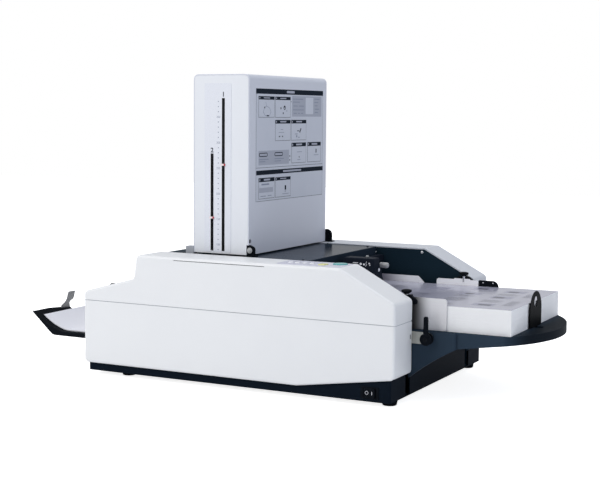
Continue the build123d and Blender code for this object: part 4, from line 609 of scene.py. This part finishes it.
def dotTree():
    tree, given = startTree("scaleDots", {"Vector": "start", "Float": "pitch radius film",
                                          "Int": "dots numberEvery numberAt"})
    step = vectorOf(tree, z=given["pitch"])
    row = addNode(tree, "GeometryNodeMeshLine",
                  {"Count": given["dots"], "Start Location": given["start"], "Offset": step})
    turn = calc(tree, "FLOORED_MODULO", addNode(tree, "GeometryNodeInputIndex"), given["numberEvery"])
    taken = addNode(tree, "FunctionNodeCompare", {"A": turn, "B": given["numberAt"]},
                    data_type="FLOAT", operation="EQUAL")
    left = addNode(tree, "GeometryNodeDeleteGeometry", {"Geometry": row, "Selection": taken})
    dot = addNode(tree, "GeometryNodeMeshCylinder",
                  {"Vertices": 10, "Radius": given["radius"], "Depth": given["film"]})
    laid = addNode(tree, "GeometryNodeInstanceOnPoints",
                   {"Points": left, "Instance": dot, "Rotation": (math.pi / 2, 0, 0)})
    return endTree(tree, given, laid)


dotValues = {"start": at(scale["dotX"], scale["face"] - scale["sunk"], scale["first"]),
             "pitch": scale["pitch"] * mm, "dots": scale["dots"], "radius": scale["radius"] * mm,
             "film": scale["film"] * mm, "numberEvery": scale["numberEvery"], "numberAt": scale["numberAt"],
             "finish": inkOf["shade"]}
growPiece("scaleDots", dotTree(), dotValues, "tower")
print("scale and its numbers printed")


# stack of paper on the table, and the printed top sheet
stack = {"feedX": 182, "length": 420, "width": 297, "foot": 134, "height": 47.3, "sheets": 72, "slip": 0.35,
         "trim": 0.8, "fill": 0.94, "sag": 2, "sagFrom": -60, "topTrim": 0.3, "topThick": 0.12, "seed": 7}


def stackTree():
    tree, given = startTree("sheetStack", {"Vector": "foot size", "Int": "sheets seed",
                                           "Float": "pitch slip sag sagFrom sagTo ground height"})
    step = vectorOf(tree, z=given["pitch"])
    pile = addNode(tree, "GeometryNodeMeshLine",
                   {"Count": given["sheets"], "Start Location": given["foot"], "Offset": step})
    back = calc(tree, "MULTIPLY", given["slip"], -1.0)
    low, high = vectorOf(tree, back, back), vectorOf(tree, given["slip"], given["slip"])
    stray = addNode(tree, "FunctionNodeRandomValue", {"Min": low, "Max": high, "Seed": given["seed"]},
                    data_type="FLOAT_VECTOR")
    strayed = addNode(tree, "GeometryNodeSetPosition", {"Geometry": pile, "Offset": stray})
    sheet = addNode(tree, "GeometryNodeMeshCube",
                    {"Size": given["size"], "Vertices X": 22, "Vertices Y": 2, "Vertices Z": 2})
    laid = addNode(tree, "GeometryNodeInstanceOnPoints", {"Points": strayed, "Instance": sheet})
    loose = addNode(tree, "GeometryNodeRealizeInstances", {"Geometry": laid})
    # the pile sinks towards the rollers, its upper sheets most
    axes = addNode(tree, "ShaderNodeSeparateXYZ", {0: addNode(tree, "GeometryNodeInputPosition")}).outputs
    share = calc(tree, "DIVIDE", calc(tree, "SUBTRACT", axes[2], given["ground"]), given["height"])
    along = fall(tree, axes[0], given["sagFrom"], given["sagTo"])
    drop = calc(tree, "MULTIPLY", calc(tree, "MULTIPLY", share, along), given["sag"])
    move = vectorOf(tree, z=calc(tree, "MULTIPLY", drop, -1.0))
    return endTree(tree, given, addNode(tree, "GeometryNodeSetPosition", {"Geometry": loose, "Offset": move}))


sheetPitch = stack["height"] / stack["sheets"]
stackMiddle = stack["feedX"] - stack["length"] / 2
sheetSize = lambda trim, thick: Vector((stack["length"] - trim, stack["width"] - trim, thick)) * mm
stackValues = {"foot": at(stackMiddle, 0, stack["foot"] + sheetPitch / 2), "pitch": sheetPitch * mm,
               "size": sheetSize(stack["trim"], sheetPitch * stack["fill"]), "sheets": stack["sheets"],
               "slip": stack["slip"] * mm, "sag": stack["sag"] * mm, "sagFrom": at(stack["sagFrom"], 0, 0).x,
               "sagTo": at(stack["feedX"], 0, 0).x, "ground": stack["foot"] * mm, "height": stack["height"] * mm,
               "seed": stack["seed"], "finish": paperEdge}
sheetStack = stackTree()
pile = growPiece("sheetStack", sheetStack, stackValues, "table")
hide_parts("paper_stack")
topValues = dict(stackValues, foot=at(stackMiddle, 0, stack["foot"] + stack["height"] + stack["topThick"] / 2),
                 size=sheetSize(stack["topTrim"], stack["topThick"]), sheets=1, slip=0.0, finish=coatedPaper)
growPiece("topSheet", sheetStack, topValues, "table")


def topFace(x, y, lift):
    # the top sheet's face sinks a little towards the rollers, as the stack does
    along = min(max((x - stack["sagFrom"]) / (stack["feedX"] - stack["sagFrom"]), 0), 1)
    sunk = stack["sag"] * (1 - along * along * (3 - 2 * along))
    return at(x, y, stack["foot"] + stack["height"] + stack["topThick"] - sunk + lift)


# a plain leaflet: pictures in two greys with short rows beside them (x0, x1, y0, y1)
leaflet = {
    "pictures": [(20, 62, 96, 128), (20, 62, 20, 52), (92, 134, -12, 24), (92, 134, -116, -84), (-64, -22, 62, 104),
                 (-150, -104, -40, 20), (92, 134, 74, 104)],
    "patches": [(28, 50, 102, 120), (30, 46, 26, 44), (98, 118, -6, 12), (104, 128, -110, -94), (-56, -34, 70, 92),
                (-140, -118, -28, 6), (100, 120, 80, 96)],
    "rows": [(20, 62, -2, 3), (20, 62, -70, 8), (20, 62, -128, 5), (92, 134, -66, 6), (92, 134, 34, 5),
             (146, 168, -100, 12), (146, 168, 20, 10), (-64, -22, -60, 12), (-150, -104, 40, 9), (-64, -22, -126, 6)],
    "rowHeight": 2.2, "rowPitch": 5.6, "ragged": 0.12}


def leafletMarks(facts):
    marks = [("light", 0, plate(*spot)) for spot in facts["pictures"]]
    marks += [("print", 1, plate(*spot)) for spot in facts["patches"]]
    for x0, x1, y, count in facts["rows"]:
        for i in range(count):
            short = (x1 - x0) * facts["ragged"] * ((i * 2) % 3)
            low = y + i * facts["rowPitch"]
            marks.append(("print", 0, plate(x0, x1 - short, low, low + facts["rowHeight"])))
    return marks


printPiece("leafletPrint", leafletMarks(leaflet), topFace, "table", film=0.02)
print("stack laid from", stack["sheets"], "sheets")


# screws: pan heads with a cross recess

screws = {
    "wallScrews": {"radius": 3.4, "rise": 1.6, "body": "machine", "finish": "zinc", "facing": (0, -1, 0),
                   "spots": [(-221.5, 166.5, 235.5), (-115, 166.5, 240)]},
    "wallScrewsNear": {"radius": 3.4, "rise": 1.6, "body": "machine", "finish": "zinc", "facing": (0, 1, 0),
                       "spots": [(-221.5, -166.5, 235.5), (-115, -166.5, 240)]},
    "deckScrews": {"radius": 2.4, "rise": 1.2, "body": "machine", "finish": "black", "facing": (0, 0, 1),
                   "spots": [(-232, 150, 247), (-232, -150, 247), (-330, 160, 247),
                             (-330, -160, 247)]},
    "bracketScrews": {"radius": 1.6, "rise": 0.8, "body": "far_guide", "finish": "zinc", "facing": (0, -1, 0),
                      "spots": [(25, 150.6, 187.1), (45.9, 150.6, 187.4)]},
}
screwFinish = {
    # zinc-plated steel, barrelled: pale grey and a little cloudy
    "zinc": grainedFinish("platedZinc", "#D9DBDE", "#C6C8CC", 0.003, 0.0006, 0.00002, 0.3, Metallic=1.0),
    # phosphated steel: soft black
    "black": grainedFinish("phosphatedSteel", "#15171B", "#202327", 0.003, 0.0006, 0.00002, 0.5, **dull),
}


# shares of a head's radius and rise
panHead = {"sides": 24, "neck": 0.82, "dome": 0.45, "slotWide": 0.24, "slotLong": 1.1, "slotDeep": 1.2}


def screwTree(facts):
    tree, given = startTree("panScrews", {"Float": "radius rise"})
    radius, rise = given["radius"], given["rise"]
    way = addNode(tree, "GeometryNodeInputNamedAttribute", {"Name": "facing"}, data_type="FLOAT_VECTOR")
    turn = addNode(tree, "FunctionNodeAlignRotationToVector", {"Vector": way}, axis="Z")
    neck, arm, reach = [calc(tree, "MULTIPLY", radius, facts[k]) for k in ("neck", "slotWide", "slotLong")]
    dome, deep = [calc(tree, "MULTIPLY", rise, facts[k]) for k in ("dome", "slotDeep")]
    rim = addNode(tree, "GeometryNodeMeshCone",
                  {"Vertices": facts["sides"], "Radius Top": neck, "Radius Bottom": radius, "Depth": rise})
    ball = addNode(tree, "GeometryNodeMeshUVSphere", {"Segments": facts["sides"], "Rings": 8, "Radius": 1.0})
    size, lift = vectorOf(tree, neck, neck, dome), vectorOf(tree, z=rise)
    crown = addNode(tree, "GeometryNodeTransform", {"Geometry": ball, "Scale": size, "Translation": lift})
    recess = addNode(tree, "GeometryNodeMeshBoolean", {"Mesh 1": crown}, operation="DIFFERENCE", solver="EXACT")
    for first, second in ((reach, arm), (arm, reach)):
        cut = addNode(tree, "GeometryNodeMeshCube", {"Size": vectorOf(tree, first, second, deep)})
        bar = addNode(tree, "GeometryNodeTransform", {"Geometry": cut, "Translation": lift})
        tree.links.new(bar.outputs[0], recess.inputs["Mesh 2"])
    head = addNode(tree, "GeometryNodeJoinGeometry")
    for part in (rim, recess):
        tree.links.new(part.outputs[0], head.inputs[0])
    laid = addNode(tree, "GeometryNodeInstanceOnPoints",
                   {"Points": given["Geometry"], "Instance": head, "Rotation": turn})
    return endTree(tree, given, laid)


panScrews = screwTree(panHead)
for name, facts in screws.items():
    values = {"radius": facts["radius"] * mm, "rise": facts["rise"] * mm, "finish": screwFinish[facts["finish"]]}
    growPiece(name, panScrews, values, facts["body"], [at(*spot) for spot in facts["spots"]],
              [facts["facing"]] * len(facts["spots"]))
print("screws set in", len(screws), "groups")


# small turned pieces, lathed from a half section

turned = {
    # half section as (radius, height) up from the face, in millimetres
    "hingePin": {"spot": (-348, -151.9, 259.5), "facing": (0, -1, 0), "body": "machine", "finish": "grey",
                 "section": [(0, -0.5), (5.6, -0.5), (5.6, 0.5), (5, 1), (3.4, 1), (3.4, 1.9), (2.7, 2.5),
                             (0, 2.7)]},
    "headButton": {"spot": (-165.9, 1.7, 244), "facing": (0, 0, 1), "body": "machine", "finish": "grey",
                   "section": [(0, -0.5), (3, -0.5), (3, 1.2), (2.2, 1.9), (0, 2.2)]},
    "leverBolt": {"spot": (32, -181.7, 121), "facing": (0, -1, 0), "body": "clamp_lever", "finish": "black",
                  "section": [(0, -0.5), (4.2, -0.5), (4.2, 0.5), (3.6, 1), (1.8, 1), (1.5, 0.4), (0, 0.4)]},
}
turnedFinish = dict(screwFinish, grey=greyAbs)


def lathe(name, facts, count=32):
    turn = Vector(facts["facing"]).to_track_quat("Z", "Y").to_matrix().to_4x4()
    place = Matrix.Translation(at(*facts["spot"])) @ turn
    shape = bmesh.new()
    rings = []
    for radius, height in facts["section"]:
        ring = disc(0, 0, radius, count) if radius else [(0, 0)]
        rings.append([shape.verts.new(place @ Vector((u * mm, v * mm, height * mm))) for u, v in ring])
    for low, high in zip(rings, rings[1:]):
        for i in range(count):
            j = (i + 1) % count
            corners = [low[i % len(low)], low[j % len(low)], high[j % len(high)], high[i % len(high)]]
            shape.faces.new(list(dict.fromkeys(corners)))
    settle(name, shape, [turnedFinish[facts["finish"]]], facts["body"])


for name, facts in turned.items():
    lathe(name, facts)
print("turned pieces set:", len(turned))


# printed marks on the panel and the feed head, and painted shade in a notch at the cover's end
panel = {
    "top": 249.3, "firstKey": -228, "keyPitch": 15, "thick": 1.1, "bar": (-4, 4, -221.5, -219.8),
    # a strip folded once, twice, in a zigzag and as a gate, seen from its edge
    "folds": [[(-5, -196), (5, -192), (-5, -188)], [(-5, -198), (5, -195), (-5, -191), (5, -188)],
              [(-5, -197), (0, -188), (5, -197)], [(-5, -190), (-5, -196), (5, -196), (5, -190)]],
    "startMark": [(-172, -196), (-166, -196)], "startThick": 1.2, "rule": (-146, -123, -214, -212.2)}
head = {
    "side": -32, "end": -137.5, "lean": 6, "top": 244, "tall": 51,
    "bars": [(-182, -170.5, 233.6, 235, 0.6), (-180, -172.5, 230.8, 231.8)],
    "dots": [(-165, 232.6, 2.4), (-157.9, 231.9, 2), (-146.6, 234.2, 1.7), (-145.4, 230.8, 1.1)],
    "wave": [(-152.2, 237.6), (-154, 234.6), (-152.2, 231.8), (-154.2, 228.4)], "waveThick": 0.9,
    "arrow": [(-15.5, 217.6), (-8, 217.6), (-8, 220.6), (-5.8, 220.6), (-10.6, 224.6), (-15.4, 220.6),
              (-13, 220.6)]}
notchShade = (-170.2, -167.6, 150.4, 153.2, 0.8)

panelFace = lambda x, y, lift: at(x, y, panel["top"] + lift)
headSide = lambda x, z, lift: at(x, head["side"] - lift, z)
headEnd = lambda y, z, lift: at(head["end"] + head["lean"] * (head["top"] - z) / head["tall"] + lift, y, z)

outlines = []
u0, u1, v0, v1 = panel["bar"]
for i, fold in enumerate(panel["folds"]):
    x = panel["firstKey"] + panel["keyPitch"] * i
    outlines += stroke([(x + u, v) for u, v in fold], panel["thick"]) + [plate(x + u0, x + u1, v0, v1)]
outlines += stroke(panel["startMark"], panel["startThick"]) + [plate(*panel["rule"])]
printPiece("panelMarks", [("faint", 0, edge) for edge in outlines], panelFace, "machine")

outlines = [plate(*ends) for ends in head["bars"]] + [disc(*spot) for spot in head["dots"]]
outlines += stroke(head["wave"], head["waveThick"])
printPiece("headMarks", [("white", 0, edge) for edge in outlines], headSide, "machine")
printPiece("headArrow", [("white", 0, head["arrow"])], headEnd, "machine")
# painted shade: a dark film where the notch in the covers' seam is hollow
printPiece("seamNotchShade", [("slate", 0, plate(*notchShade))], lambda y, z, lift: at(lift, y, z), "machine")
print("marks printed")


# delivery tray: a floor that sweeps up to its tip, with turned-down sides and a hand notch in the tip
tray = {"back": -600, "bend": -790, "tip": -868.5, "floor": 63.7, "rise": 39.2, "power": 1.6, "half": 164,
        "sheet": 2, "flange": 8, "lowSlope": 0.875, "lowTip": 100.6, "lowRound": 3, "dip": 6.2,
        "dipHalf": 116, "dipPower": 1.5, "leastSide": 0.1, "flats": 3, "stations": 30, "across": 26, "inset": 5,
        "bead": [(0, 0.4), (0.8, 1), (2.8, 1), (3.8, 0.3)],       # in from the side, above the floor
        "notchHalf": 37, "notchDepth": 20, "notchRound": 9, "notchPast": 12, "notchLevels": (60, 130)}


def trayFloor(x, y):
    share = min(max((tray["bend"] - x) / (tray["bend"] - tray["tip"]), 0), 1)
    sunk = tray["dip"] * share * share * max(1 - (y / tray["dipHalf"]) ** 2, 0) ** tray["dipPower"]
    return tray["floor"] + tray["rise"] * share ** tray["power"] - sunk


def trayLow(x):
    # the turned-down side runs straight up to the tip, with a small round where it leaves the flat
    flat, sloped = tray["floor"] - tray["flange"], tray["lowTip"] - tray["lowSlope"] * (x - tray["tip"])
    return (flat + sloped + math.sqrt((flat - sloped) ** 2 + tray["lowRound"] ** 2)) / 2


def traySection(x):
    half, wall, inset = tray["half"], tray["sheet"], tray["inset"]
    inner = spread(inset - half, half - inset, tray["across"])
    edge = trayFloor(x, half)
    low = min(trayLow(x), edge - wall - tray["leastSide"])
    side = [(-half, low)] + [(-half + u, edge + v) for u, v in tray["bead"]]
    below = [(y, trayFloor(x, y) - wall) for y in (-half + wall, *inner[1:-1], half - wall)]
    return (side + [(y, trayFloor(x, y)) for y in inner] + [(-y, z) for y, z in reversed(side)]
            + [(half - wall, low)] + below[::-1] + [(-half + wall, low)])


def carve(solid, cutter):
    # takes the cutter's form out of the solid
    holder, knife = [stand(name, bpy.data.meshes.new(name)) for name in ("whole", "tool")]
    for shape, thing in ((solid, holder), (cutter, knife)):
        bmesh.ops.recalc_face_normals(shape, faces=shape.faces)
        shape.to_mesh(thing.data)
    cut = holder.modifiers.new("cut", "BOOLEAN")
    cut.operation, cut.solver, cut.object = "DIFFERENCE", "EXACT", knife
    mesh = evaluated(holder)
    solid.clear()
    solid.from_mesh(mesh)
    cutter.free()
    for spent in (mesh, holder.data, knife.data):
        bpy.data.meshes.remove(spent)
    return solid


def notchPlan(facts, cuts=6):
    # half of a slot with round corners, open past the tip, and its mirror image
    inner, bend, half = facts["tip"] + facts["notchDepth"], facts["notchRound"], facts["notchHalf"]
    plan = [(facts["tip"] - facts["notchPast"], -half)]
    for angle in spread(0, math.pi / 2, cuts):
        plan.append((inner - bend + bend * math.sin(angle), -half + bend * (1 - math.cos(angle))))
    return plan + [(x, -y) for x, y in reversed(plan)]


run = spread(tray["back"], tray["bend"], tray["flats"])[:-1] + spread(tray["bend"], tray["tip"], tray["stations"])
shape, cutter = bmesh.new(), bmesh.new()
loft(shape, [[at(x, y, z) for y, z in traySection(x)] for x in run])
loft(cutter, [[at(x, y, level) for x, y in notchPlan(tray)] for level in tray["notchLevels"]])
trayPiece = settle("deliveryTray", carve(shape, cutter), [blackNylon], "tray")
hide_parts("delivery_tray")

# the folded sheets: each is three thin panels held by rounded folds, and slips a little as (along, across)
folded = {"left": -855, "length": 148, "half": 148.5, "panel": 0.42, "panels": 3, "foot": 0.15, "gap": 0.1,
          "slips": [(0, 4), (1.2, 3.1)], "stations": 28, "across": 8, "fold": 0.25, "foldReach": 1.5}

shape = bmesh.new()
lift = folded["foot"]
for along, aside in folded["slips"]:
    left, right = folded["left"] + along, folded["left"] + along + folded["length"]
    across = spread(aside - folded["half"], aside + folded["half"], folded["across"])
    for layer in range(folded["panels"]):
        loops = []
        for x in spread(left, right, folded["stations"]):
            ease = folded["fold"] * math.exp(-min(x - left, right - x) / folded["foldReach"])
            low = trayFloor(x, tray["half"]) + lift + ease
            high = trayFloor(x, tray["half"]) + lift + folded["panel"] - ease
            loops.append([at(x, y, low) for y in across] + [at(x, y, high) for y in reversed(across)])
        loft(shape, loops)
        lift += folded["panel"]
    lift += folded["gap"]
foldedPile = settle("foldedPile", shape, [foldedPaper], "tray")
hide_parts("folded_sheets")

# the smoke-grey stop on the tip: a bent strip of film, outlined as (across, up)
stop = {"edge": [(-69, 93), (-38.5, 93), (-38.7, 98.5), (-40.2, 105), (-37, 109.5), (-27, 113),
                 (-23.6, 118), (-21.6, 129.6), (-23.5, 130.6), (-43, 131), (-46.6, 128.2), (-48.4, 118),
                 (-51, 113.6), (-56, 109), (-69, 102.6)],
        "x": -866, "bendFrom": 103, "lean": 2, "height": 28, "sheet": 1.2, "cuts": 8}

shape = bmesh.new()
shape.faces.new([shape.verts.new(at(stop["x"], y, z)) for y, z in stop["edge"]])
for i in range(1, stop["cuts"]):
    level = stop["bendFrom"] + stop["height"] * i / stop["cuts"]
    bmesh.ops.bisect_plane(shape, geom=shape.verts[:] + shape.edges[:] + shape.faces[:],
                           plane_co=at(0, 0, level), plane_no=(0, 0, 1))
for vert in shape.verts:
    above = max(vert.co.z / mm - stop["bendFrom"], 0) / stop["height"]
    vert.co.x += stop["lean"] * above * above * mm
bmesh.ops.solidify(shape, geom=shape.faces[:], thickness=stop["sheet"] * mm)
stopPiece = settle("trayStop", shape, [smokeFilm], "tray")
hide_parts("tray_flap")
print("tray, folded sheets and stop formed")


# O and I on the power rocker's two faces, which meet in a shallow valley
rocker = {"x": -49.8, "axisY": -238.2, "z": 26, "tilt": 9, "brow": -4, "valley": 1.6, "half": 11.2,
          "ring": (-5.4, 0, 2.9, 20), "ringThick": 0.9, "bar": (5.2, 6.3, -3, 3)}


def rockerFace(u, v, lift):
    y = rocker["brow"] + rocker["valley"] * (1 - abs(u) / rocker["half"]) - lift
    turn = math.radians(rocker["tilt"])
    return at(rocker["x"] + u * math.cos(turn) + y * math.sin(turn),
              rocker["axisY"] - u * math.sin(turn) + y * math.cos(turn), rocker["z"] + v)


ring = disc(*rocker["ring"])
outlines = stroke(ring + ring[:1], rocker["ringThick"]) + [plate(*rocker["bar"])]
printPiece("rockerMarks", [("white", 0, edge) for edge in outlines], rockerFace, "rocker")
print("switch marked")
